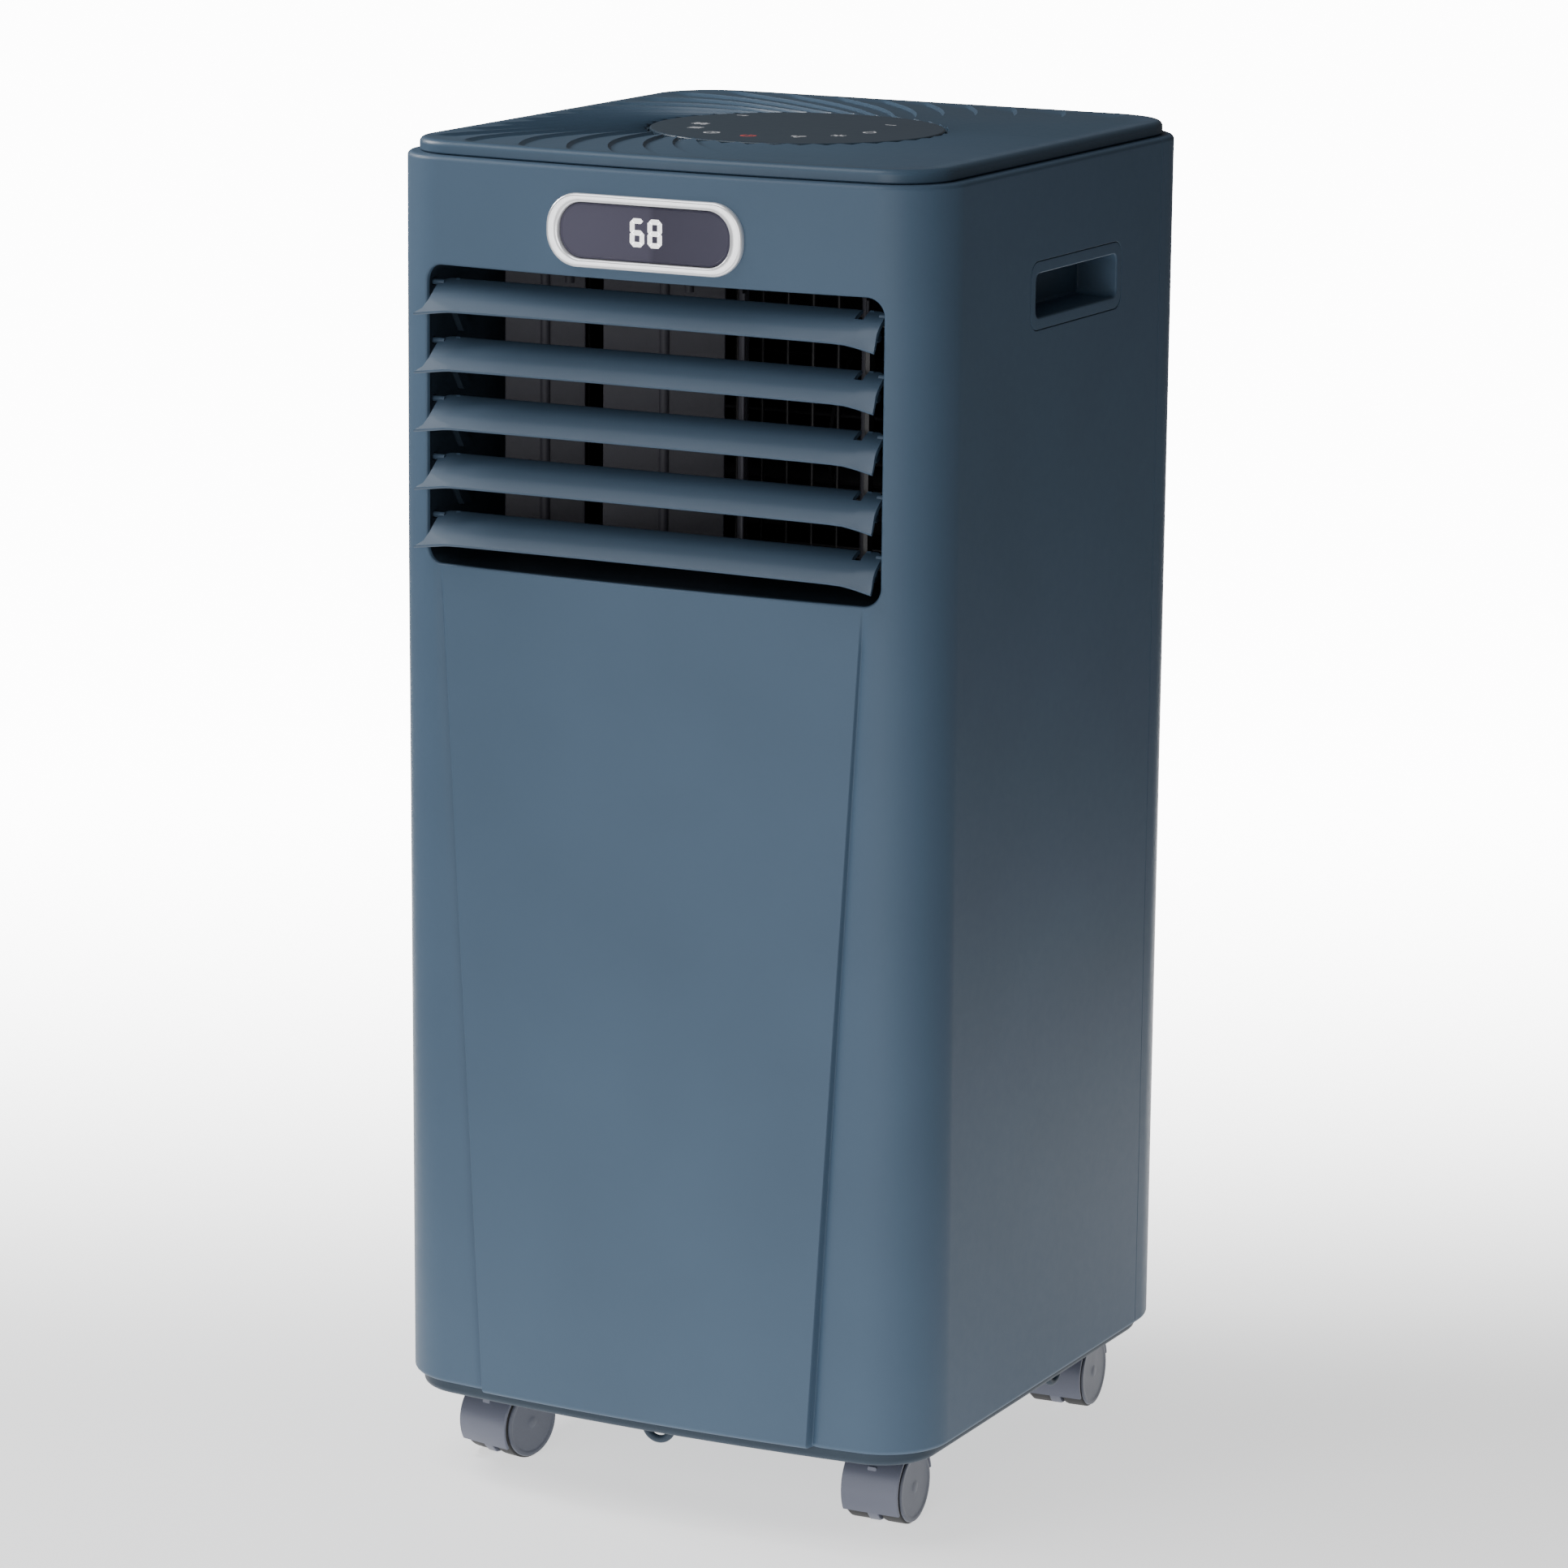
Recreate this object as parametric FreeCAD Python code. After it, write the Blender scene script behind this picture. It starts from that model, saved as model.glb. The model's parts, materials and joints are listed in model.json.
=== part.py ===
import FreeCAD, Part
import math
import os

# Portable air conditioner. Millimetres. Front faces -Y, right side +X, up +Z.
# The origin is the centre of the footprint, on the floor under the wheels.

V = FreeCAD.Vector

# Cabinet
WIDTH = 300.0
DEPTH = 320.0
BOW = 9.0
CORNER_FRONT = 36.0
CORNER_REAR = 42.0
WALL = 2.6
GAP = 0.2
FLOOR_Z = 44.0
SHELL_Z = 50.8
BODY_TOP = 676.0
TOP_Z = 683.0
BASE_INSET = 6.0
LID_INSET = 6.0
SEAM_Y = 112.0
WING_STEP = 4.0
PANEL_TOP = 116.2
PANEL_BOTTOM = 92.5
FRONT_RADIUS = ((WIDTH / 2) ** 2 + BOW ** 2) / (2 * BOW)

# Air outlet and louvers
OPEN_HALF = 125.0
OPEN_Z0 = 475.0
OPEN_Z1 = 623.0
OPEN_R = 9.0
DUCT_HALF = 125.2
DUCT_WALL = 2.4
DUCT_BACK = -60.0
LOUVERS = 5
LOUVER_PITCH = 28.9
LOUVER_TILT = 39.0
LOUVER_Y = -145.0
LOUVER_Z = 613.2
BLADE_T = 2.2
CRANK = 14.2
PIN_R = 2.0
FIT = 0.05

# Guide vanes behind the louvers: pivot x and chord
VANE_Y = -98.0
VANE_Z0 = 480.0
VANE_Z1 = 616.0
VANE_T = 1.6
VANE_CRANK = 12.0
VANE_PIN = 1.8
VANE_OUTER = (89.0, 40.0)
VANE_INNER = (22.0, 60.0)
TURN_LEFT = 63.0
TURN_RIGHT = -27.0

# Display and touch panel
BADGE_Z = 645.8
BADGE_HALF = (53.3, 19.5)
WINDOW_HALF = (46.5, 14.7)
DISC_R = 74.0

# Side handles
HANDLE_Y = 10.8
HANDLE_Z = 612.6
HANDLE_HALF = (47.7, 10.8)
HANDLE_RIM = 6.2
HANDLE_DEPTH = 22.0

# Casters
STEM_X = 107.0
STEM_Y = (-82.0, 133.0)
TRAIL = 15.0
WHEEL_R = 19.0
HOOD_R = 21.5
HOOD_HALF = 15.5
CASTER_TURN = {"fl": 12.0, "fr": -2.0, "bl": 5.0, "br": -4.0}

# Rear face
EXHAUST_Z = 325.0
EXHAUST_R = 62.0
INTAKE_HALF = 94.0
INTAKE_UPPER = (406.0, 614.0)
INTAKE_LOWER = (74.0, 248.0)
REAR_PROUD = 162.6


def box(x0, x1, y0, y1, z0, z1):
    return Part.makeBox(x1 - x0, y1 - y0, z1 - z0, V(x0, y0, z0))


def cyl(r, p, d, length):
    return Part.makeCylinder(r, length, V(*p), V(*d))


def fuse(items):
    first = items[0]
    return first.multiFuse(items[1:]).removeSplitter() if len(items) > 1 else first


def arc(a, m, b):
    return Part.Arc(V(*a), V(*m), V(*b)).toShape()


def line(a, b):
    return Part.makeLine(V(*a), V(*b))


def outline(inset, z, step=0.0):
    """Plan of the cabinet: bowed front, rounded corners, flat back."""
    half = WIDTH / 2 - inset
    back = DEPTH / 2 - inset
    rf = FRONT_RADIUS - inset
    cf = CORNER_FRONT - inset
    cr = CORNER_REAR - inset
    cy = -DEPTH / 2 + FRONT_RADIUS + step
    fx = WIDTH / 2 - CORNER_FRONT
    fy = cy - math.sqrt((FRONT_RADIUS - CORNER_FRONT) ** 2 - fx ** 2)
    a = math.atan2(fy - cy, fx)
    m = a / 2
    px, py = rf * math.cos(a), cy + rf * math.sin(a)
    mx, my = fx + cf * math.cos(m), fy + cf * math.sin(m)
    rx, ry = half - cr, back - cr
    q = cr * math.sqrt(0.5)
    edges = [
        arc((-px, py, z), (0, cy - rf, z), (px, py, z)),
        arc((px, py, z), (mx, my, z), (half, fy, z)),
        line((half, fy, z), (half, ry, z)),
        arc((half, ry, z), (rx + q, ry + q, z), (rx, back, z)),
        line((rx, back, z), (-rx, back, z)),
        arc((-rx, back, z), (-rx - q, ry + q, z), (-half, ry, z)),
        line((-half, ry, z), (-half, fy, z)),
        arc((-half, fy, z), (-mx, my, z), (-px, py, z)),
    ]
    return Part.Wire(edges)


def prism(inset, z0, z1, step=0.0):
    return Part.Face(outline(inset, z0, step)).extrude(V(0, 0, z1 - z0))


def tapered(inset, z0, step0, z1, step1):
    wires = [outline(inset, z0, step0), outline(inset, z1, step1)]
    return Part.makeLoft(wires, True, True)


def polygon(points, direction):
    pts = [V(*p) for p in points]
    return Part.Face(Part.makePolygon(pts + pts[:1])).extrude(V(*direction))


def round_rect(hx, hz, r, y0, y1, cx=0.0, cz=0.0):
    """Rounded rectangle in the XZ plane, run from y0 to y1."""
    k = r * math.sqrt(0.5)
    x0, x1, z0, z1 = cx - hx, cx + hx, cz - hz, cz + hz
    edges = [
        line((x0 + r, y0, z0), (x1 - r, y0, z0)),
        arc((x1 - r, y0, z0), (x1 - r + k, y0, z0 + r - k), (x1, y0, z0 + r)),
        line((x1, y0, z0 + r), (x1, y0, z1 - r)),
        arc((x1, y0, z1 - r), (x1 - r + k, y0, z1 - r + k), (x1 - r, y0, z1)),
        line((x1 - r, y0, z1), (x0 + r, y0, z1)),
        arc((x0 + r, y0, z1), (x0 + r - k, y0, z1 - r + k), (x0, y0, z1 - r)),
        line((x0, y0, z1 - r), (x0, y0, z0 + r)),
        arc((x0, y0, z0 + r), (x0 + r - k, y0, z0 + r - k), (x0 + r, y0, z0)),
    ]
    return Part.Face(Part.Wire(edges)).extrude(V(0, y1 - y0, 0))


def side_rect(hy, hz, r, x0, x1, cy, cz):
    """Rounded rectangle in the YZ plane, run from x0 to x1."""
    s = round_rect(hy, hz, r, 0, abs(x1 - x0))
    s.rotate(V(0, 0, 0), V(0, 0, 1), -90)
    s.translate(V(min(x0, x1), cy, cz))
    return s


def mirrored(shape):
    return shape.mirror(V(0, 0, 0), V(1, 0, 0))


def tube(points, r, bend):
    """Round bar bent along a path of straight runs."""
    pts = [V(*p) for p in points]
    edges = []
    start = pts[0]
    for i in range(1, len(pts) - 1):
        a = (pts[i - 1] - pts[i]).normalize()
        b = (pts[i + 1] - pts[i]).normalize()
        half = a.getAngle(b) / 2
        reach = bend / math.tan(half)
        p = pts[i] + a * reach
        q = pts[i] + b * reach
        mid = (a + b).normalize()
        centre = pts[i] + mid * (bend / math.sin(half))
        edges.append(Part.makeLine(start, p))
        edges.append(Part.Arc(p, centre - mid * bend, q).toShape())
        start = q
    edges.append(Part.makeLine(start, pts[-1]))
    first = (pts[1] - pts[0]).normalize()
    ring = Part.Wire([Part.makeCircle(r, pts[0], first)])
    return Part.Wire(edges).makePipeShell([ring], True, False)


nodes = {}

# ---------------------------------------------------------------- cabinet shells


def v_panel(shrink, y0, y1):
    """Tapered raised centre of the front, between outlet and base."""
    b, t = PANEL_BOTTOM - shrink, PANEL_TOP - shrink
    rise = (PANEL_TOP - PANEL_BOTTOM) / (OPEN_Z0 - SHELL_Z)
    zt = OPEN_Z0 + 20
    t = t + rise * 20
    pts = [(-b, y0, SHELL_Z - 1), (b, y0, SHELL_Z - 1), (t, y0, zt), (-t, y0, zt)]
    return polygon(pts, (0, y1 - y0, 0))


def cabinet_solid(inset, z0, z1, shrink):
    lower = tapered(inset, z0, WING_STEP, OPEN_Z0, 0.0)
    upper = prism(inset, OPEN_Z0, z1)
    raised = prism(inset, z0, OPEN_Z0).common(v_panel(shrink, -170, -100))
    return lower.fuse([upper, raised]).removeSplitter()


outer = cabinet_solid(0.0, SHELL_Z, BODY_TOP, 0.0)
rim = [e for e in outer.Edges if abs(e.BoundBox.ZMin - BODY_TOP) < 0.01 and e.BoundBox.ZLength < 0.01]
outer = outer.makeFillet(2.4, rim)
cavity = cabinet_solid(WALL, SHELL_Z, BODY_TOP - WALL, WALL)
shell = outer.cut(cavity)
shell = shell.cut(prism(9.5, BODY_TOP - 10, BODY_TOP + 5))

cut_back = box(-200, 200, SEAM_Y, 300, 0, 800)
cut_front = box(-200, 200, -300, SEAM_Y + 0.4, 0, 800)

opening = round_rect(OPEN_HALF, (OPEN_Z1 - OPEN_Z0) / 2, OPEN_R, -180, -140, 0, (OPEN_Z0 + OPEN_Z1) / 2)
badge_hole = round_rect(49.5, 16.6, 15.5, -180, -145, 0, BADGE_Z)
handle_hole = side_rect(
    HANDLE_HALF[0] + HANDLE_RIM, HANDLE_HALF[1] + HANDLE_RIM, 8.0, 130, 160, HANDLE_Y, HANDLE_Z)
front = shell.cut(cut_back)
front = front.cut([opening, badge_hole, handle_hole, mirrored(handle_hole)])
lap = prism(WALL + GAP, 60, BODY_TOP - 10).cut(prism(WALL + 2.0, 59, BODY_TOP - 9))
lap = lap.common(box(-200, 200, SEAM_Y - 6, SEAM_Y + 7, 60, BODY_TOP - 10))
joiner = prism(WALL - 0.3, 60, BODY_TOP - 10).cut(prism(WALL + 2.0, 59, BODY_TOP - 9))
joiner = joiner.common(box(-200, 200, SEAM_Y - 6, SEAM_Y - 2, 60, BODY_TOP - 10))
nodes["housing_front"] = fuse([front, joiner, lap])

SCREWS = [(x, z) for z in (90.0, 238.0, 424.0, 600.0) for x in (-101.5, 101.5)]
GLAND = (-101.5, 64.0)
DRAIN = (60.0, 128.0)


def intake_hole(z0, z1):
    return round_rect(INTAKE_HALF, (z1 - z0) / 2, 6, 150, 170, 0, (z0 + z1) / 2)


rear = shell.cut(cut_front)
bosses = [cyl(4.6, (x, 153.6, z), (0, 1, 0), 5.0) for x, z in SCREWS]
rear = fuse([rear] + bosses)
tools = [intake_hole(*INTAKE_UPPER), intake_hole(*INTAKE_LOWER)]
tools.append(cyl(EXHAUST_R + 4.3, (0, 140, EXHAUST_Z), (0, 1, 0), 40))
tools.append(cyl(6.2, (GLAND[0], 140, GLAND[1]), (0, 1, 0), 40))
tools += [cyl(1.9, (x, 150, z), (0, 1, 0), 20) for x, z in SCREWS]
tools += [cyl(3.9, (x, 157.6, z), (0, 1, 0), 10) for x, z in SCREWS]
nodes["housing_rear"] = rear.cut(tools)

screws = []
for x, z in SCREWS:
    head = cyl(3.6, (x, 157.7, z), (0, 1, 0), 2.0)
    shank = cyl(1.5, (x, 147.0, z), (0, 1, 0), 11.0)
    cross = fuse([box(x - 2, x + 2, 158.8, 161, z - 0.4, z + 0.4), box(x - 0.4, x + 0.4, 158.8, 161, z - 2, z + 2)])
    screws.append(head.fuse(shank).cut(cross))
nodes["case_screws"] = Part.makeCompound(screws)

# ---------------------------------------------------------------- top cover

cover = prism(LID_INSET, BODY_TOP + 0.1, TOP_Z)
top_edges = [e for e in cover.Edges if abs(e.BoundBox.ZMin - TOP_Z) < 0.01 and e.BoundBox.ZLength < 0.01]
cover = cover.makeFillet(2.0, top_edges)
cover = cover.cut(prism(LID_INSET + 2.6, BODY_TOP - 1, TOP_Z - 4.2))
cover = cover.cut(cyl(DISC_R + 0.3, (0, 0, TOP_Z - 3.0), (0, 0, 1), 5))
VANE_COUNT = 40
SWIRL_IN = DISC_R + 3.0
SWIRL_OUT = 196.0
SWEEP = math.radians(34.0)
field = prism(LID_INSET + 4.5, TOP_Z - 1.1, TOP_Z + 1)


def swirl_point(radius, start):
    share = (radius - SWIRL_IN) / (SWIRL_OUT - SWIRL_IN)
    a = start + SWEEP * share ** 0.8
    return (radius * math.cos(a), radius * math.sin(a), TOP_Z - 1.1)


grooves = []
for i in range(VANE_COUNT):
    s = 2 * math.pi * i / VANE_COUNT
    w0, w1 = 0.028, 0.016
    mid = (SWIRL_IN + SWIRL_OUT) / 2
    lead = arc(swirl_point(SWIRL_IN, s), swirl_point(mid, s), swirl_point(SWIRL_OUT, s))
    trail = arc(
        swirl_point(SWIRL_OUT, s + w1), swirl_point(mid, s + (w0 + w1) / 2), swirl_point(SWIRL_IN, s + w0))
    ends = [
        line(swirl_point(SWIRL_OUT, s), swirl_point(SWIRL_OUT, s + w1)),
        line(swirl_point(SWIRL_IN, s + w0), swirl_point(SWIRL_IN, s)),
    ]
    loop = Part.Wire([lead, ends[0], trail, ends[1]])
    grooves.append(Part.Face(loop).extrude(V(0, 0, 3)).common(field))
nodes["top_cover"] = cover.cut(grooves)

panel = cyl(DISC_R, (0, 0, TOP_Z - 2.9), (0, 0, 1), 2.4)
nodes["control_panel"] = panel.makeFillet(0.8, [e for e in panel.Edges if e.BoundBox.ZMin > TOP_Z - 0.6])

# ---------------------------------------------------------------- display

BADGE_Y = -161.6
skin = cabinet_solid(0.0, SHELL_Z, BODY_TOP, 0.0)
flange = round_rect(BADGE_HALF[0], BADGE_HALF[1], 18.0, BADGE_Y, -158.6, 0, BADGE_Z).cut(skin)
spigot = round_rect(49.3, 16.4, 15.3, BADGE_Y + 0.5, -153.0, 0, BADGE_Z)
bezel = fuse([flange, spigot])
bezel = bezel.cut(round_rect(WINDOW_HALF[0], WINDOW_HALF[1], 13.4, -170, -159.6, 0, BADGE_Z))
bezel = bezel.cut(round_rect(WINDOW_HALF[0] - 1.5, WINDOW_HALF[1] - 1.5, 11.9, -160, -150, 0, BADGE_Z))
nodes["display_bezel"] = bezel
nodes["display_window"] = round_rect(
    WINDOW_HALF[0] - 0.1, WINDOW_HALF[1] - 0.1, 13.3, BADGE_Y + 0.4, -159.7, 0, BADGE_Z)

DIGIT_H = 13.8
DIGIT_W = 7.6
BAR = 1.7
SEGMENTS = {
    "top": (0.0, 1.0, True), "middle": (0.0, 0.0, True), "bottom": (0.0, -1.0, True),
    "upper_left": (-1.0, 0.5, False), "upper_right": (1.0, 0.5, False),
    "lower_left": (-1.0, -0.5, False), "lower_right": (1.0, -0.5, False),
}
SHOWN = ((-4.9, ("top", "middle", "bottom", "upper_left", "lower_left", "lower_right")), (4.9, tuple(SEGMENTS)))


def segment(cx, cz, flat):
    length = (DIGIT_W if flat else DIGIT_H / 2) / 2 - 0.35
    h = BAR / 2
    pts = [(-length, 0), (-length + h, h), (length - h, h), (length, 0), (length - h, -h), (-length + h, -h)]
    if not flat:
        pts = [(b, a) for a, b in pts]
    return polygon([(cx + a, -159.4, cz + b) for a, b in pts], (0, 0.8, 0))


lamps = []
for cx, lit in SHOWN:
    for name in lit:
        u, w, flat = SEGMENTS[name]
        half_w = DIGIT_W / 2
        half_h = DIGIT_H / 2 - BAR / 2
        lamps.append(segment(cx + u * half_w, BADGE_Z + 0.7 + w * half_h, flat))
nodes["display_digits"] = Part.makeCompound(lamps)

# ---------------------------------------------------------------- outlet duct and louvers

OPEN_CZ = (OPEN_Z0 + OPEN_Z1) / 2
DUCT_HZ = (OPEN_Z1 - OPEN_Z0) / 2 + 0.2
inside = prism(WALL + 0.1, 400, 660)
duct = round_rect(DUCT_HALF + DUCT_WALL, DUCT_HZ + DUCT_WALL, OPEN_R + 2, -165, DUCT_BACK, 0, OPEN_CZ)
duct = duct.cut(round_rect(DUCT_HALF, DUCT_HZ, OPEN_R, -170, DUCT_BACK + 5, 0, OPEN_CZ)).common(inside)
pivots = [LOUVER_Z - LOUVER_PITCH * i for i in range(LOUVERS)]
holes = [cyl(PIN_R + FIT, (-140, LOUVER_Y, z), (1, 0, 0), 280) for z in pivots]
for x, chord in (VANE_OUTER, VANE_INNER):
    for side in (-1, 1):
        holes.append(cyl(VANE_PIN + FIT, (side * x, VANE_Y, 460), (0, 0, 1), 180))
duct = duct.cut(holes)
ribs = []
for z in pivots[:-1]:
    for side in (-1, 1):
        x = side * (DUCT_HALF + 0.6)
        lean = [(x, -133.5, z - 10.0), (x, -125.5, z - 10.0), (x, -113.5, z - 27.0), (x, -121.5, z - 27.0)]
        ribs.append(polygon(lean, (-side * 3.8, 0, 0)))
nodes["outlet_duct"] = fuse([duct] + ribs)


def blade_outline():
    """Plan of a louver blade; its left tip reaches out over the edge of the opening."""
    mid, body = 112.0, 122.0
    right = [
        line((mid, -19.4, 0), (119.0, -20.6, 0)),
        line((119.0, -20.6, 0), (123.2, -21.8, 0)),
        line((123.2, -21.8, 0), (body, -13.0, 0)),
        line((body, -13.0, 0), (body, -3.0, 0)),
        arc((body, -3.0, 0), (body - 2.3, 2.8, 0), (body - 8.0, 5.2, 0)),
    ]
    left = [
        line((-mid, -19.4, 0), (-128.8, -20.4, 0)),
        line((-128.8, -20.4, 0), (-124.0, -17.6, 0)),
        line((-124.0, -17.6, 0), (-body, -13.0, 0)),
        line((-body, -13.0, 0), (-body, -3.0, 0)),
        arc((-body, -3.0, 0), (2.3 - body, 2.8, 0), (8.0 - body, 5.2, 0)),
    ]
    ends = [
        arc((-mid, -19.4, 0), (0, -18.9, 0), (mid, -19.4, 0)),
        line((body - 8.0, 5.2, 0), (8.0 - body, 5.2, 0)),
    ]
    wire = Part.Wire(Part.__sortEdges__(right + left + ends))
    return Part.Face(wire)


def louver(z):
    blade = blade_outline().extrude(V(0, 0, BLADE_T))
    blade.translate(V(0, 0, -BLADE_T / 2))
    blade = blade.cut(box(107.2, 111.8, -3.6, 8, -5, 5))
    parts = [blade]
    for side in (-1, 1):
        parts.append(cyl(PIN_R, (side * 119.0, 0, 0), (side, 0, 0), 8.4))
        x = side * 113.2 - 1.2
        arm = polygon([(x, -7, -0.5), (x, 3.6, -0.5), (x, 3, -CRANK), (x, -3, -CRANK)], (2.4, 0, 0))
        parts.append(arm)
        parts.append(cyl(3.0, (x, 0, -CRANK), (1, 0, 0), 2.4))
    parts.append(cyl(1.5, (107.4, 0, -CRANK), (1, 0, 0), 5.6))
    shape = fuse(parts)
    shape.rotate(V(0, 0, 0), V(1, 0, 0), LOUVER_TILT)
    shape.translate(V(0, LOUVER_Y, z))
    return shape


for number, z in enumerate(pivots):
    nodes["louver_%d" % (number + 1)] = louver(z)

tilt = math.radians(LOUVER_TILT)
CRANK_Y = LOUVER_Y + CRANK * math.sin(tilt)
CRANK_DZ = -CRANK * math.cos(tilt)
bar_top = pivots[0] + CRANK_DZ
bar_low = pivots[-1] + CRANK_DZ
bar = box(108.5, 110.7, CRANK_Y - 2.8, CRANK_Y + 2.8, bar_low, bar_top)
bar = fuse([bar, cyl(2.8, (108.5, CRANK_Y, bar_top), (1, 0, 0), 2.2), cyl(2.8, (108.5, CRANK_Y, bar_low), (1, 0, 0), 2.2)])
bar = bar.cut([cyl(1.5 + FIT, (100, CRANK_Y, z + CRANK_DZ), (1, 0, 0), 20) for z in pivots])
nodes["louver_link"] = bar


def guide_vane(x, chord, turn):
    """Upright vane turned by an angle from straight ahead towards the left."""
    h = chord / 2
    plate = box(-VANE_T / 2, VANE_T / 2, -h, h, VANE_Z0, VANE_Z1)
    ends = [e for e in plate.Edges if abs(abs(e.CenterOfMass.y) - h) < 0.01 and e.BoundBox.ZLength > 50]
    plate = plate.makeFillet(0.7, ends)
    stiff = cyl(2.6, (0, 0, VANE_Z0), (0, 0, 1), VANE_Z1 - VANE_Z0)
    top = cyl(VANE_PIN, (0, 0, VANE_Z1 - 2), (0, 0, 1), 11.2)
    low = cyl(VANE_PIN, (0, 0, VANE_Z0 - 7.4), (0, 0, 1), 9.4)
    boss = cyl(2.4, (0, VANE_CRANK, VANE_Z1 - 6), (0, 0, 1), 6.0)
    pin = cyl(1.4, (0, VANE_CRANK, VANE_Z1 - 2), (0, 0, 1), 5.8)
    shape = fuse([plate, stiff, top, low, boss, pin])
    shape.rotate(V(0, 0, 0), V(0, 0, 1), -turn)
    shape.translate(V(x, VANE_Y, 0))
    return shape


nodes["vane_left_outer"] = guide_vane(-VANE_OUTER[0], VANE_OUTER[1], TURN_LEFT)
nodes["vane_left_inner"] = guide_vane(-VANE_INNER[0], VANE_INNER[1], TURN_LEFT)
nodes["vane_right_inner"] = guide_vane(VANE_INNER[0], VANE_INNER[1], TURN_RIGHT)
nodes["vane_right_outer"] = guide_vane(VANE_OUTER[0], VANE_OUTER[1], TURN_RIGHT)


def vane_link(side, turn):
    a = math.radians(turn)
    dx, dy = VANE_CRANK * math.sin(a), VANE_CRANK * math.cos(a)
    xs = [side * VANE_OUTER[0] + dx, side * VANE_INNER[0] + dx]
    y = VANE_Y + dy
    z0 = VANE_Z1 + 1.0
    strip = box(min(xs), max(xs), y - 2.6, y + 2.6, z0, z0 + 1.8)
    strip = fuse([strip] + [cyl(2.6, (x, y, z0), (0, 0, 1), 1.8) for x in xs])
    return strip.cut([cyl(1.4 + FIT, (x, y, z0 - 3), (0, 0, 1), 9) for x in xs])


nodes["vane_link_left"] = vane_link(-1, TURN_LEFT)
nodes["vane_link_right"] = vane_link(1, TURN_RIGHT)

frame = round_rect(DUCT_HALF - 0.2, DUCT_HZ - 0.2, OPEN_R - 0.2, -64.5, -60.5, 0, OPEN_CZ)
frame = frame.cut(round_rect(DUCT_HALF - 4, DUCT_HZ - 4, 5, -70, -55, 0, OPEN_CZ))
wires = [frame]
for i in range(17):
    x = -112.0 + 14.0 * i
    wires.append(cyl(1.1, (x, -62.5, OPEN_Z0 + 2), (0, 0, 1), OPEN_Z1 - OPEN_Z0 - 4))
for i in range(5):
    z = LOUVER_Z - 15.0 - LOUVER_PITCH * i
    for dz in (-2.2, 2.2):
        wires.append(cyl(0.9, (-DUCT_HALF + 2, -62.5, z + dz), (1, 0, 0), 2 * DUCT_HALF - 4))
nodes["outlet_guard"] = fuse(wires)

# ---------------------------------------------------------------- room-air side

BLOWER = (25.0, 525.0)
BLOWER_R = 55.0
by, bz = BLOWER
side_shape = polygon([(110, -59.5, 472.6), (110, 10, 462), (110, 10, 590), (110, -59.5, 625)], (2, 0, 0))
plate = side_shape.fuse(cyl(70, (110, by, bz), (1, 0, 0), 2.0)).removeSplitter()
right_plate = plate.cut(cyl(12, (100, by, bz), (1, 0, 0), 20))
left_plate = mirrored(plate).cut(cyl(4 + FIT, (-120, by, bz), (1, 0, 0), 20))
lower = cyl(68.5, (-110, by, bz), (1, 0, 0), 220).cut(cyl(66, (-120, by, bz), (1, 0, 0), 240))
lower = lower.common(polygon([(-110, by, bz), (-110, 140, bz - 20), (-110, 140, 400), (-110, by - 40, 400)], (220, 0, 0)))
floor_wall = polygon([(-110, -59.5, 472.6), (-110, -59.5, 475.1), (-110, 2.0, 466.0), (-110, 2.0, 463.0)], (220, 0, 0))
roof_wall = polygon([(-110, -59.5, 622.5), (-110, -59.5, 625.0), (-110, 6.0, 592.0), (-110, 4.0, 589.5)], (220, 0, 0))
lip = polygon([(-110, 2, 588), (-110, 6.5, 592.5), (-110, 9.5, 586), (-110, 7, 584.5)], (220, 0, 0))
nodes["blower_housing"] = fuse([right_plate, left_plate, lower, floor_wall, roof_wall, lip])


def curved_blade(r0, r1, thickness, start, sweep, height, origin):
    """One forward-curved blade standing on the XY plane."""
    def at(radius, share, extra):
        a = start + sweep * share + extra
        return (origin[0] + radius * math.cos(a), origin[1] + radius * math.sin(a), origin[2])
    mid = (r0 + r1) / 2
    d0, dm, d1 = thickness / r0, thickness / mid, thickness / r1
    edges = [
        arc(at(r0, 0, 0), at(mid, 0.35, 0), at(r1, 1, 0)),
        line(at(r1, 1, 0), at(r1, 1, d1)),
        arc(at(r1, 1, d1), at(mid, 0.35, dm), at(r0, 0, d0)),
        line(at(r0, 0, d0), at(r0, 0, 0)),
    ]
    return Part.Face(Part.Wire(edges)).extrude(V(0, 0, height))


drum = []
for i in range(30):
    drum.append(curved_blade(44.0, 54.6, 1.4, math.radians(12 * i), math.radians(9), 208.0, (0, 0, -104)))
for z in (-105.0, -36.0, 34.0, 103.0):
    ring = cyl(BLOWER_R, (0, 0, z), (0, 0, 1), 2.0)
    drum.append(ring if abs(z) > 100 else ring.cut(cyl(43.0, (0, 0, z - 1), (0, 0, 1), 4)))
drum.append(cyl(4.0, (0, 0, -112.2), (0, 0, 1), 8))
drum.append(cyl(4.0, (0, 0, 104.0), (0, 0, 1), 18))
wheel = fuse(drum)
wheel.rotate(V(0, 0, 0), V(0, 1, 0), 90)
wheel.translate(V(0, by, bz))
nodes["blower_wheel"] = wheel

motor = cyl(36, (116, by, bz), (1, 0, 0), 26)
motor = motor.makeFillet(4, [e for e in motor.Edges if e.BoundBox.XLength < 0.01])
motor = fuse([motor, cyl(11, (113, by, bz), (1, 0, 0), 5)])
nodes["blower_motor"] = motor.cut(cyl(4 + FIT, (110, by, bz), (1, 0, 0), 14))


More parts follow.
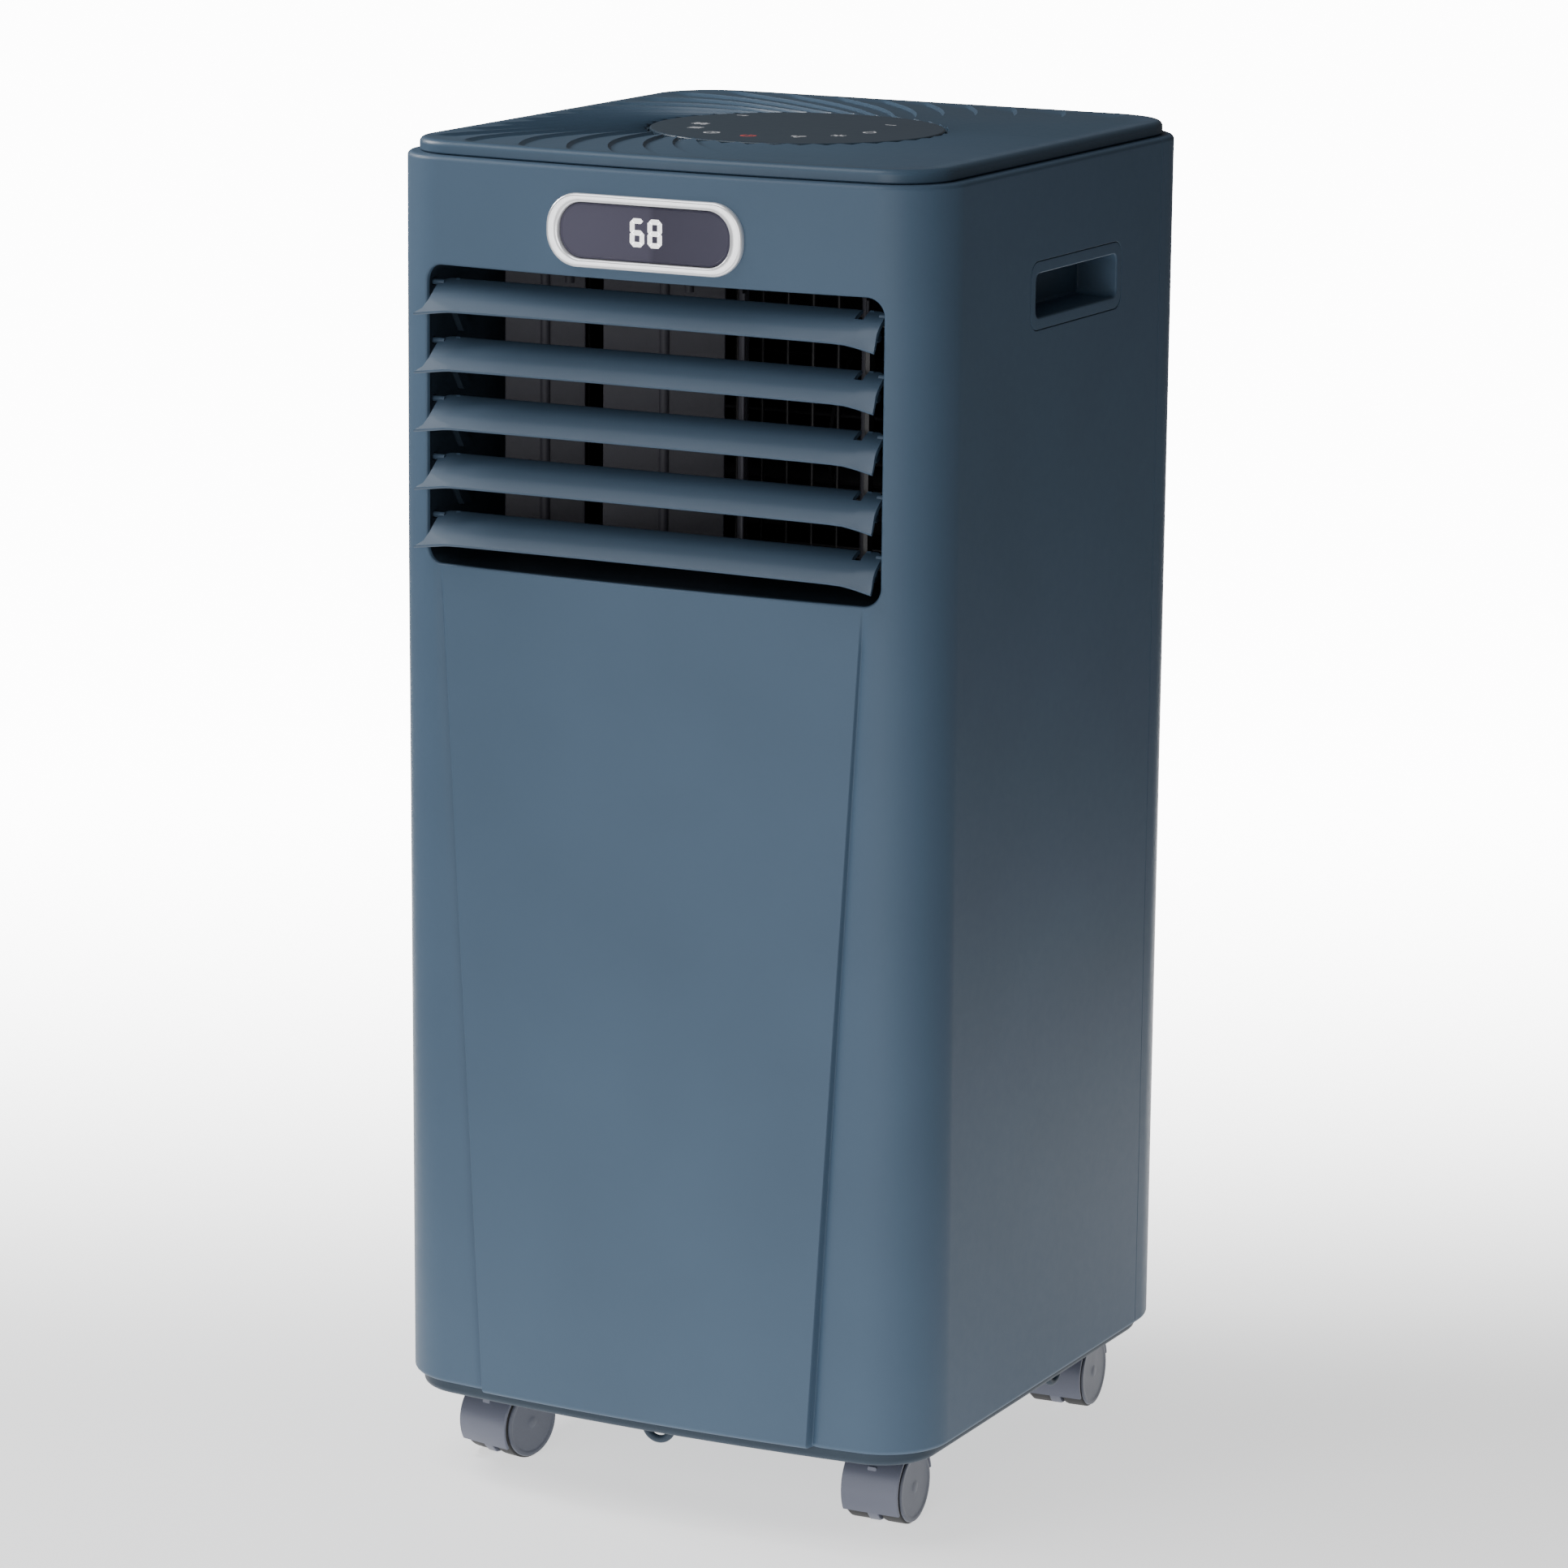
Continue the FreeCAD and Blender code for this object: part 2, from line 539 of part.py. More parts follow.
def coil(y0, y1, z0, z1, rows):
    """Finned heat exchanger with end plates, tabs and return bends."""
    pitch, thick, root = 6.0, 1.6, 4.0
    pts = []
    count = 35
    x = -pitch * (count - 1) / 2
    front_edge, back_edge = [], []
    for i in range(count):
        a, b = x - thick / 2, x + thick / 2
        front_edge += [(a, y0 + root, z0), (a, y0, z0), (b, y0, z0), (b, y0 + root, z0)]
        back_edge += [(a, y1 - root, z0), (a, y1, z0), (b, y1, z0), (b, y1 - root, z0)]
        x += pitch
    pts = front_edge + back_edge[::-1]
    body = polygon(pts, (0, 0, z1 - z0))
    items = [body]
    tabs = [z for sx, z in SCREWS if sx > 0 and z0 < z < z1]
    for side in (-1, 1):
        xa, xb = sorted((side * 102.0, side * 106.6))
        items.append(box(xa, xb, y0, y1, z0, z1))
        for z in tabs:
            xa, xb = sorted((side * 105.4, side * 106.6))
            items.append(box(xa, xb, y1 - 3, 153.2, z - 9, z + 9))
            xa, xb = sorted((side * 96.5, side * 106.6))
            items.append(box(xa, xb, 152.0, 153.2, z - 9, z + 9))
    step = (z1 - z0) / rows
    for side in (-1, 1):
        for r in range(rows):
            z = z0 + step * (r + 0.5)
            bend = Part.makeTorus(step / 4, 3.4, V(side * 106.0, (y0 + y1) / 2, z), V(0, 1, 0))
            half = box(*sorted((side * 106.0, side * 130.0)), y0 - 5, y1 + 5, z - 40, z + 40)
            items.append(bend.common(half))
    shape = fuse(items)
    return shape.cut([cyl(1.5, (sx, 145, z), (0, 1, 0), 12) for sx, z in SCREWS if z in tabs])


nodes["evaporator_coil"] = coil(96.0, 120.0, 411.0, 612.0, 8)
nodes["condenser_coil"] = coil(108.0, 136.0, 62.5, 252.0, 8)

deck = prism(WALL + 2.4, 398.0, 400.5)
tray = box(-114, 114, 92, 143.6, 400.0, 408.5).cut(box(-112, 112, 94, 141.6, 400.5, 412))
deck = fuse([deck, tray])
deck = deck.cut(box(-150, -128, 98, 116, 390, 405))
nodes["divider_deck"] = deck

# ---------------------------------------------------------------- outdoor-air side

FAN = (35.0, 165.0)
fx, fz = FAN
case_outer = fuse([
    cyl(98, (fx, 48, fz), (0, 1, 0), 56),
    box(-69, 69, 48, 104, fz, 394),
    box(-69, 69, 48, 137.6, 256, 394),
])
case_inner = fuse([
    cyl(96, (fx, 50, fz), (0, 1, 0), 52),
    box(-67, 67, 50, 102, fz, 392),
    box(-67, 67, 50, 135.6, 258, 392),
])
case = case_outer.cut(case_inner)
case = case.cut([
    cyl(60, (fx, 90, fz), (0, 1, 0), 20),
    cyl(9, (fx, 40, fz), (0, 1, 0), 20),
    cyl(EXHAUST_R, (0, 130, EXHAUST_Z), (0, 1, 0), 20),
])
nodes["exhaust_duct"] = case

rotor = [cyl(74, (0, 0, 0), (0, 0, 1), 2.0), cyl(74, (0, 0, 40), (0, 0, 1), 2.0).cut(cyl(62, (0, 0, 39), (0, 0, 1), 4))]
rotor.append(cyl(14, (0, 0, 0), (0, 0, 1), 16))
rotor.append(cyl(4, (0, 0, -18), (0, 0, 1), 20))
for i in range(30):
    rotor.append(curved_blade(60.0, 73.6, 1.6, math.radians(12 * i), math.radians(8), 39.0, (0, 0, 1.0)))
fan = fuse(rotor)
fan.rotate(V(0, 0, 0), V(1, 0, 0), -90)
fan.translate(V(fx, 56, fz))
nodes["fan_wheel"] = fan

fan_motor = cyl(40, (fx, -4, fz), (0, 1, 0), 50)
fan_motor = fan_motor.makeFillet(5, [e for e in fan_motor.Edges if e.BoundBox.YLength < 0.01])
nodes["fan_motor"] = fan_motor.cut(cyl(4 + FIT, (fx, 36, fz), (0, 1, 0), 14))

COMP = (-62.0, -62.0)
cx, cy = COMP
tank = cyl(58, (cx, cy, 60), (0, 0, 1), 186)
tank = tank.makeFillet(20, [e for e in tank.Edges if e.BoundBox.ZLength < 0.01])
well = cyl(50, (cx, cy, 130), (0, 0, 1), 100)
tank = tank.cut(well)
foot_items = [cyl(50, (cx, cy, 56), (0, 0, 1), 6)]
FEET = []
for k in range(3):
    a = math.radians(30 + 120 * k)
    fxk, fyk = cx + 62 * math.cos(a), cy + 62 * math.sin(a)
    FEET.append((fxk, fyk))
    arm = box(-0, 62, -14, 14, 56, 59)
    arm.rotate(V(0, 0, 0), V(0, 0, 1), 30 + 120 * k)
    arm.translate(V(cx, cy, 0))
    foot_items += [arm, cyl(14, (fxk, fyk, 56), (0, 0, 1), 3)]
feet = fuse(foot_items).cut([cyl(5.2, (a, b, 50), (0, 0, 1), 12) for a, b in FEET])
stub = cyl(5.5, (cx, cy, 244), (0, 0, 1), 8)
terminal = box(cx + 12, cx + 44, cy - 12, cy + 12, 240, 251)
nodes["compressor"] = fuse([tank, feet, stub, terminal])
mounts = []
for a, b in FEET:
    grommet = fuse([cyl(9, (a, b, FLOOR_Z + 3.1), (0, 0, 1), 52.7 - FLOOR_Z), cyl(5, (a, b, 55), (0, 0, 1), 4.4), cyl(7.5, (a, b, 59.2), (0, 0, 1), 3)])
    mounts.append(grommet)
nodes["compressor_grommets"] = Part.makeCompound(mounts)

ACC = (24.0, -84.0)
vessel = cyl(24, (ACC[0], ACC[1], 102), (0, 0, 1), 120)
vessel = vessel.makeFillet(10, [e for e in vessel.Edges if e.BoundBox.ZLength < 0.01])
pipe = tube([(ACC[0], ACC[1], 106), (ACC[0], ACC[1], 84), (-4.5, -77.0, 84)], 5.0, 11.0)
nodes["accumulator"] = fuse([vessel, pipe])

suction = tube([
    (ACC[0], ACC[1], 222.2), (ACC[0], ACC[1], 268), (-136, -84, 268), (-136, 107, 268),
    (-136, 107, 418), (-119, 107, 418)], 4.8, 12.0)
nodes["suction_tube"] = suction
discharge = tube([
    (cx, cy, 252.2), (cx, cy, 286), (cx, 30, 286), (-120, 30, 286), (-120, 122, 286), (-120, 122, 246)], 3.4, 10.0)
nodes["discharge_tube"] = discharge

ebox = box(-50, 96, -136, -70, 288, 386)
ebox = ebox.makeFillet(3, [e for e in ebox.Edges if e.BoundBox.YLength > 60])
lid_plate = box(-54, 100, -139, -136.0, 284, 390)
ribs = [box(-40 + 12 * i, -36 + 12 * i, -141, -138, 296, 378) for i in range(11)]
nodes["control_box"] = fuse([ebox, lid_plate] + ribs)

# ---------------------------------------------------------------- base

base = prism(BASE_INSET, FLOOR_Z, SHELL_Z + 1, 1.5)
base = base.makeFillet(3.0, [e for e in base.Edges if e.BoundBox.ZMax < FLOOR_Z + 0.01])
base = base.cut(prism(BASE_INSET + 3.0, FLOOR_Z + 3.0, 80, 1.5))
ledge = prism(WALL + GAP, SHELL_Z, 60.0, WING_STEP).cut(prism(BASE_INSET + 3.0, SHELL_Z - 2, 70, 1.5))
back_relief = box(GLAND[0] - 9, GLAND[0] + 9, 140, 158, 54.0, 70)
feet_bosses = []
sockets = []
for side in (-1, 1):
    for y in STEM_Y:
        feet_bosses.append(cyl(10, (side * STEM_X, y, FLOOR_Z), (0, 0, 1), 11.5))
        sockets.append(cyl(4.0 + FIT, (side * STEM_X, y, FLOOR_Z - 5), (0, 0, 1), 14.5))
base = fuse([base, ledge] + feet_bosses)
port = cyl(6.4, (DRAIN[0], DRAIN[1], FLOOR_Z), (0, 0, 1), 9.0)
base = base.fuse(port)
base = base.cut(sockets + [cyl(3.4, (DRAIN[0], DRAIN[1], FLOOR_Z - 5), (0, 0, 1), 20), back_relief])


def tie_loop(x, y, angle):
    ring = Part.makeTorus(7.6, 2.0, V(0, 0, 0), V(0, 1, 0))
    ring = ring.common(box(-20, 20, -5, 5, -20, 0.6))
    ring.rotate(V(0, 0, 0), V(0, 0, 1), angle)
    ring.translate(V(x, y, FLOOR_Z))
    return ring


loops = [tie_loop(0, -138, 0), tie_loop(134, 43, 90), tie_loop(-134, 43, 90)]
nodes["base_tray"] = fuse([base] + loops)

cap_z = FLOOR_Z - 2.9
cap = cyl(5.6, (DRAIN[0], DRAIN[1], cap_z), (0, 0, 1), 2.6)
cap = cap.makeFillet(0.8, [e for e in cap.Edges if e.BoundBox.ZMax < cap_z + 0.01])
nodes["drain_plug"] = fuse([cap, cyl(3.4 - FIT, (DRAIN[0], DRAIN[1], cap_z + 1.9), (0, 0, 1), 8.0)])

gx, gz = GLAND
gland = fuse([cyl(8.0, (gx, 160.0, gz), (0, 1, 0), 1.6), cyl(6.0, (gx, 150.0, gz), (0, 1, 0), 11), cyl(7.4, (gx, 154.0, gz), (0, 1, 0), 3.2)])
nodes["cord_gland"] = gland.cut(cyl(4.0, (gx, 140, gz), (0, 1, 0), 40))

# ---------------------------------------------------------------- handles


def handle():
    hy, hz = HANDLE_HALF
    rim_plate = side_rect(hy + HANDLE_RIM - 0.3, hz + HANDLE_RIM - 0.3, 7.7, 147.6, 150.0, HANDLE_Y, HANDLE_Z)
    deep = 150.0 - HANDLE_DEPTH
    cup = side_rect(hy + 2, hz + 2, 6.0, deep - 2.0, 149.0, HANDLE_Y, HANDLE_Z)
    pocket = side_rect(hy, hz, 4.0, deep, 152.0, HANDLE_Y, HANDLE_Z)
    hook = side_rect(hy + 2, 6.0, 4.0, deep - 2.0, 145.0, HANDLE_Y, HANDLE_Z + hz + 5)
    hook_in = side_rect(hy, 4.6, 3.0, deep, 143.2, HANDLE_Y, HANDLE_Z + hz + 4.4)
    back = side_rect(hy + HANDLE_RIM + 3, hz + HANDLE_RIM + 3, 10, 145.4, 147.2, HANDLE_Y, HANDLE_Z)
    neck = side_rect(hy + HANDLE_RIM - 0.3, hz + HANDLE_RIM - 0.3, 7.7, 145.4, 149.0, HANDLE_Y, HANDLE_Z)
    return fuse([rim_plate, neck, back, cup, hook]).cut([pocket, hook_in])


nodes["handle_right"] = handle()
nodes["handle_left"] = mirrored(handle())

# ---------------------------------------------------------------- rear intakes and exhaust


def grille(z0, z1):
    """Slatted cover with a rim that carries the filter."""
    cz, hz = (z0 + z1) / 2, (z1 - z0) / 2
    face = round_rect(INTAKE_HALF - 0.3, hz - 0.3, 5.7, 157.6, 160.0, 0, cz)
    wall = round_rect(INTAKE_HALF - 2.0, hz - 2.0, 4, 144.6, 158, 0, cz)
    wall = wall.cut(round_rect(INTAKE_HALF - 3.8, hz - 3.8, 3, 140, 157.6, 0, cz))
    slots = []
    n = int((2 * hz - 20) / 8.0)
    for i in range(n):
        z = cz + (i - (n - 1) / 2) * 8.0
        for k in (-1, 0, 1):
            slots.append(box(58 * k - 27, 58 * k + 27, 150, 170, z - 2.2, z + 2.2))
    return fuse([face, wall]).cut(slots)


def filter_frame(z0, z1):
    cz, hz = (z0 + z1) / 2, (z1 - z0) / 2
    pad = round_rect(INTAKE_HALF - 4.1, hz - 4.1, 2.7, 148.0, 151.0, 0, cz)
    windows = []
    for k in (-1.5, -0.5, 0.5, 1.5):
        for j in (-1, 0, 1):
            w, h = (INTAKE_HALF - 8) / 2, (2 * hz - 16) / 3
            windows.append(box(k * w - w / 2 + 1.2, k * w + w / 2 - 1.2, 148.8, 160, cz + j * h - h / 2 + 1.2, cz + j * h + h / 2 - 1.2))
    return pad.cut(windows)


nodes["grille_upper"] = grille(*INTAKE_UPPER)
nodes["filter_upper"] = filter_frame(*INTAKE_UPPER)
nodes["grille_lower"] = grille(*INTAKE_LOWER)
nodes["filter_lower"] = filter_frame(*INTAKE_LOWER)

collar = fuse([
    cyl(EXHAUST_R + 8.0, (0, 160.0, EXHAUST_Z), (0, 1, 0), REAR_PROUD - 160.0),
    cyl(EXHAUST_R + 4.0, (0, 138.0, EXHAUST_Z), (0, 1, 0), 23.0),
])
collar = collar.cut(cyl(EXHAUST_R, (0, 130, EXHAUST_Z), (0, 1, 0), 50))
nodes["exhaust_collar"] = collar

# ---------------------------------------------------------------- casters


def caster_hood():
    """Hood, centre web, stub axles and stem; the stem is on the local Z axis."""
    cyw = -TRAIL
    cz = WHEEL_R
    ring = cyl(HOOD_R, (-HOOD_HALF, cyw, cz), (1, 0, 0), 2 * HOOD_HALF)
    ring = ring.cut(cyl(HOOD_R - 1.6, (-20, cyw, cz), (1, 0, 0), 40))
    keep = box(-20, 20, cyw - 30, cyw + 30, cz - 10.2, cz + 30)
    keep = keep.cut(box(-21, 21, cyw + 1, cyw + 31, cz - 12, cz + 4))
    ring = ring.common(keep)
    web = cyl(HOOD_R - 0.8, (-3, cyw, cz), (1, 0, 0), 6).common(box(-20, 20, cyw - 30, cyw + 30, 3.2, 60))
    neck = cyl(7.5, (0, 0, cz + 6), (0, 0, 1), FLOOR_Z - 0.5 - cz - 6)
    stem = cyl(4.0, (0, 0, cz + 17), (0, 0, 1), 53.0 - cz - 17)
    axle = cyl(2.6, (-13.5, cyw, cz), (1, 0, 0), 27.0)
    neck = neck.cut(fuse([
        cyl(WHEEL_R + 0.8, (3.4, cyw, cz), (1, 0, 0), 20), cyl(WHEEL_R + 0.8, (-23.4, cyw, cz), (1, 0, 0), 20)]))
    tab = box(-2.5, 2.5, cyw - HOOD_R + 0.2, cyw - HOOD_R + 3.4, cz + 8, cz + 12.2)
    return fuse([ring, web, neck, stem, axle, tab])


def caster_wheel(side):
    cyw = -TRAIL
    cz = WHEEL_R
    inner, outer_x = 3.5, 16.2
    tyre = cyl(WHEEL_R, (inner, cyw, cz), (1, 0, 0), 11.4)
    tyre = tyre.makeFillet(1.2, [e for e in tyre.Edges if e.BoundBox.XLength < 0.01])
    cap_disc = cyl(WHEEL_R - 1.2, (inner + 11, cyw, cz), (1, 0, 0), outer_x - inner - 11)
    cap_disc = cap_disc.makeFillet(0.7, [e for e in cap_disc.Edges if e.BoundBox.XMin > outer_x - 0.01])
    shape = fuse([tyre, cap_disc])
    hollow = cyl(13.5, (inner - 1, cyw, cz), (1, 0, 0), 8).cut(cyl(5.0, (inner - 2, cyw, cz), (1, 0, 0), 12))
    shape = shape.cut([hollow, cyl(2.6 + FIT, (inner - 1, cyw, cz), (1, 0, 0), 11.5)])
    return shape if side > 0 else mirrored(shape)


PLACES = {"fl": (-STEM_X, STEM_Y[0]), "fr": (STEM_X, STEM_Y[0]), "bl": (-STEM_X, STEM_Y[1]), "br": (STEM_X, STEM_Y[1])}
for key, (sx, sy) in PLACES.items():
    pieces = {"hood": caster_hood(), "wheel_left": caster_wheel(-1), "wheel_right": caster_wheel(1)}
    for label, piece in pieces.items():
        piece.rotate(V(0, 0, 0), V(0, 0, 1), -CASTER_TURN[key])
        piece.translate(V(sx, sy, 0))
        nodes["caster_%s_%s" % (key, label)] = piece

# ---------------------------------------------------------------- output

os.makedirs("parts", exist_ok=True)
for name, shape in nodes.items():
    shape.exportStep("parts/%s.step" % name)
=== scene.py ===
import json
import math

import bmesh
import bpy
import numpy as np
from mathutils import Matrix, Vector
from mathutils.geometry import delaunay_2d_cdt


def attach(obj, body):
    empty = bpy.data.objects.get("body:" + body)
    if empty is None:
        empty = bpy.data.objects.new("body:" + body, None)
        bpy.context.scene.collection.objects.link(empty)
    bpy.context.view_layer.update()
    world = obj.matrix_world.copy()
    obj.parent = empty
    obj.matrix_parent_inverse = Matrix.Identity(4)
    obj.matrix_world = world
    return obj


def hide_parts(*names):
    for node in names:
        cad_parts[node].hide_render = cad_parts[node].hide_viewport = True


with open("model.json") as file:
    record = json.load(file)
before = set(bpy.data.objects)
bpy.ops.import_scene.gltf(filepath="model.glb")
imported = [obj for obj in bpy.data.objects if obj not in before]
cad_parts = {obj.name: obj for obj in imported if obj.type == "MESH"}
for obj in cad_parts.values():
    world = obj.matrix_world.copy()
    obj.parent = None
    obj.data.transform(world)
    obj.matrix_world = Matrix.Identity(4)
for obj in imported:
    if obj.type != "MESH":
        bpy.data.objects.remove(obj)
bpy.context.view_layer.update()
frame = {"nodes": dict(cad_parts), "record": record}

scene = bpy.context.scene
MM = 0.001
PI = math.pi

# ------------------------------------------------------------------ sizes, in millimetres

WIDTH, DEPTH, BOW = 300.0, 320.0, 9.0
CORNER_FRONT, CORNER_REAR = 36.0, 42.0
FRONT_RADIUS = ((WIDTH / 2) ** 2 + BOW ** 2) / (2 * BOW)
SHELL_Z, BODY_TOP, TOP_Z = 50.8, 676.0, 683.0
SEAM_Y = 112.0
WING_STEP = 4.0
GROOVE_DEEP, GROOVE_WIDE = 1.5, 6.0
PANEL_TOP, PANEL_BOTTOM = 116.2, 92.5
OPEN_HALF, OPEN_Z0, OPEN_Z1, OPEN_R = 125.0, 475.0, 623.0, 9.0
OPEN_CZ = (OPEN_Z0 + OPEN_Z1) / 2
LID_INSET, LID_EDGE, LID_FOOT = 6.0, 3.0, 676.3
DISC_R = 74.0
BADGE_Z = 645.8
HANDLE_Y, HANDLE_Z = 10.8, 612.6
SHELL_WALL = 2.2
LOUVERS, LOUVER_Y, LOUVER_Z, LOUVER_PITCH = 5, -145.0, 613.2, 28.9
LOUVER_TILT = math.radians(39.0)
CRANK = 14.2
STEM_X, STEM_Y, TRAIL, WHEEL_R = 107.0, (-82.0, 133.0), 15.0, 19.0
HOOD_R = 21.5
CASTER_TURN = {"fl": 12.0, "fr": -2.0, "bl": 5.0, "br": -4.0}
CASTER_PLACE = {
    "fl": (-STEM_X, STEM_Y[0]), "fr": (STEM_X, STEM_Y[0]),
    "bl": (-STEM_X, STEM_Y[1]), "br": (STEM_X, STEM_Y[1]),
}

# ------------------------------------------------------------------ materials


def material(name):
    mat = bpy.data.materials.new(name)
    mat.use_nodes = True
    tree = mat.node_tree
    return mat, tree, tree.nodes["Principled BSDF"]


def link_noise(tree, coord, scale, detail=3.0, rough=0.55, stretch=None):
    noise = tree.nodes.new("ShaderNodeTexNoise")
    noise.inputs["Scale"].default_value = scale
    noise.inputs["Detail"].default_value = detail
    noise.inputs["Roughness"].default_value = rough
    source = coord.outputs["Object"]
    if stretch:
        mapping = tree.nodes.new("ShaderNodeMapping")
        mapping.inputs["Scale"].default_value = stretch
        tree.links.new(source, mapping.inputs["Vector"])
        source = mapping.outputs["Vector"]
    tree.links.new(source, noise.inputs["Vector"])
    return noise


def link_span(tree, value, to, start=(0.0, 1.0), smooth=False):
    """Maps a value from one span of numbers to another and returns the result socket."""
    span = tree.nodes.new("ShaderNodeMapRange")
    if smooth:
        span.interpolation_type = "SMOOTHSTEP"
    for name, number in zip(("From Min", "From Max", "To Min", "To Max"), start + to):
        span.inputs[name].default_value = number
    tree.links.new(value, span.inputs["Value"])
    return span.outputs["Result"]


def moulded(name, rgb, rough=0.45, spread=0.06, grain=1400.0, depth=0.00004, tint=0.05, coat=0.0,
            specular=0.5, metallic=0.0, stretch=None):
    """Moulded or painted surface: fine grain bump, uneven gloss and slow colour drift."""
    mat, tree, shader = material(name)
    coord = tree.nodes.new("ShaderNodeTexCoord")
    drift = link_noise(tree, coord, 9.0, 2.0)
    ramp = tree.nodes.new("ShaderNodeValToRGB")
    low, high = ramp.color_ramp.elements
    low.position, high.position = 0.3, 0.7
    low.color = tuple(c * (1 - tint) for c in rgb) + (1,)
    high.color = tuple(min(1, c * (1 + tint)) for c in rgb) + (1,)
    tree.links.new(drift.outputs["Fac"], ramp.inputs["Fac"])
    tree.links.new(ramp.outputs["Color"], shader.inputs["Base Color"])
    gloss = link_noise(tree, coord, 160.0, 4.0, 0.6, stretch)
    roughness = link_span(tree, gloss.outputs["Fac"], (rough - spread, rough + spread))
    tree.links.new(roughness, shader.inputs["Roughness"])
    fine = link_noise(tree, coord, grain, 2.0, 0.5, stretch)
    bump = tree.nodes.new("ShaderNodeBump")
    bump.inputs["Strength"].default_value = 1.0
    bump.inputs["Distance"].default_value = depth
    tree.links.new(fine.outputs["Fac"], bump.inputs["Height"])
    tree.links.new(bump.outputs["Normal"], shader.inputs["Normal"])
    shader.inputs["Metallic"].default_value = metallic
    shader.inputs["Specular IOR Level"].default_value = specular
    if coat:
        shader.inputs["Coat Weight"].default_value = coat
        shader.inputs["Coat Roughness"].default_value = 0.08
    return mat


SLATE = (0.060, 0.100, 0.153)
MATS = {
    "shell_plastic": moulded("slate_shell", SLATE, 0.5, 0.05, 1500.0, 0.00003, specular=0.3),
    "lid": moulded("slate_lid", (0.055, 0.093, 0.141), 0.38, 0.05, 1500.0, 0.00003, specular=0.3),
    # The base tray's colour is made darker than the shell's slate to paint the shade that falls under the
    # cabinet's overhanging edge.
    "base_plastic": moulded("slate_base_painted_shade", (0.026, 0.043, 0.064), 0.5, specular=0.3),
    "louver_plastic": moulded("slate_louver", (0.052, 0.086, 0.132), 0.44, 0.05, 1500.0, 0.00003,
                              specular=0.35),
    "duct_plastic": moulded("slate_duct", (0.022, 0.034, 0.050), 0.55, specular=0.2),
    "vane_plastic": moulded("vane_grey", (0.045, 0.045, 0.056), 0.5, specular=0.3),
    "inner_plastic": moulded("inner_black", (0.012, 0.012, 0.014), 0.42),
    "panel_gloss": moulded("panel_disc", (0.034, 0.054, 0.078), 0.3, 0.03, 900.0, 0.00001, 0.03,
                           specular=0.3),
    "bezel_gloss": moulded("bezel_silver", (0.94, 0.95, 0.98), 0.24, 0.04, 1800.0, 0.00001, 0.02,
                           metallic=0.55),
    "hood_plastic": moulded("hood_grey", (0.120, 0.130, 0.172), 0.36, 0.05, 1500.0, 0.00002, 0.05,
                            metallic=0.15),
    "wheel_plastic": moulded("wheel_grey", (0.088, 0.098, 0.130), 0.42),
    "rubber_black": moulded("rubber_black", (0.018, 0.018, 0.019), 0.62),
    "coil_metal": moulded("coil_aluminium", (0.60, 0.61, 0.62), 0.36, 0.1, 500.0, 0.0001, 0.08, metallic=0.9),
    "copper_tube": moulded("copper", (0.62, 0.29, 0.17), 0.34, 0.1, 300.0, 0.00005, 0.12, metallic=1.0),
    "can_paint": moulded("black_enamel", (0.015, 0.015, 0.016), 0.3, 0.06, 500.0, 0.0001, 0.05, coat=0.4),
    "motor_steel": moulded("motor_steel", (0.46, 0.46, 0.47), 0.36, 0.08, 400.0, 0.00005, 0.08, metallic=0.9,
                           stretch=(1, 1, 8)),
    "screw_steel": moulded("screw_black_zinc", (0.16, 0.16, 0.17), 0.38, 0.08, 900.0, 0.00004, 0.1,
                           metallic=0.8),
    "filter_mesh": moulded("filter_mesh", (0.13, 0.15, 0.18), 0.6, 0.08, 600.0, 0.0003, 0.1),
    "icon_light": moulded("icon_print", (0.62, 0.63, 0.66), 0.4, 0.05, 900.0, 0.00001, 0.04),
    "icon_red": moulded("icon_print_red", (0.62, 0.09, 0.09), 0.4, 0.05, 900.0, 0.00001, 0.04),
}


def window_material():
    """Smoked window: violet-grey that darkens from left to right."""
    mat, tree, shader = material("smoked_window")
    coord = tree.nodes.new("ShaderNodeTexCoord")
    split = tree.nodes.new("ShaderNodeSeparateXYZ")
    tree.links.new(coord.outputs["Object"], split.inputs["Vector"])
    across = link_span(tree, split.outputs["X"], (0.0, 1.0), (-0.046, 0.046))
    ramp = tree.nodes.new("ShaderNodeValToRGB")
    first, last = ramp.color_ramp.elements
    first.color = (0.078, 0.074, 0.110, 1)
    last.color = (0.056, 0.054, 0.082, 1)
    for place, tone in ((0.52, (0.068, 0.064, 0.096, 1)), (0.56, (0.048, 0.045, 0.070, 1))):
        ramp.color_ramp.elements.new(place).color = tone
    tree.links.new(across, ramp.inputs["Fac"])
    tree.links.new(ramp.outputs["Color"], shader.inputs["Base Color"])
    smear = link_noise(tree, coord, 60.0, 3.0)
    tree.links.new(link_span(tree, smear.outputs["Fac"], (0.28, 0.36)), shader.inputs["Roughness"])
    shader.inputs["Specular IOR Level"].default_value = 0.12
    return mat


def lamp_material():
    """Lit bars: white emission of slightly uneven strength."""
    mat, tree, shader = material("digit_light")
    coord = tree.nodes.new("ShaderNodeTexCoord")
    noise = link_noise(tree, coord, 700.0, 2.0)
    tree.links.new(link_span(tree, noise.outputs["Fac"], (0.85, 1.15)), shader.inputs["Emission Strength"])
    shader.inputs["Emission Color"].default_value = (1.0, 1.0, 1.0, 1)
    shader.inputs["Base Color"].default_value = (0.9, 0.9, 0.92, 1)
    shader.inputs["Roughness"].default_value = 0.4
    return mat


MATS["smoked_window"] = window_material()
MATS["digit_light"] = lamp_material()

for entry in frame["record"]["subparts"]:
    node = frame["nodes"].get(entry["node"])
    if node is not None:
        node.data.materials.clear()
        node.data.materials.append(MATS[entry["material_slot"]])

# ------------------------------------------------------------------ mesh kit


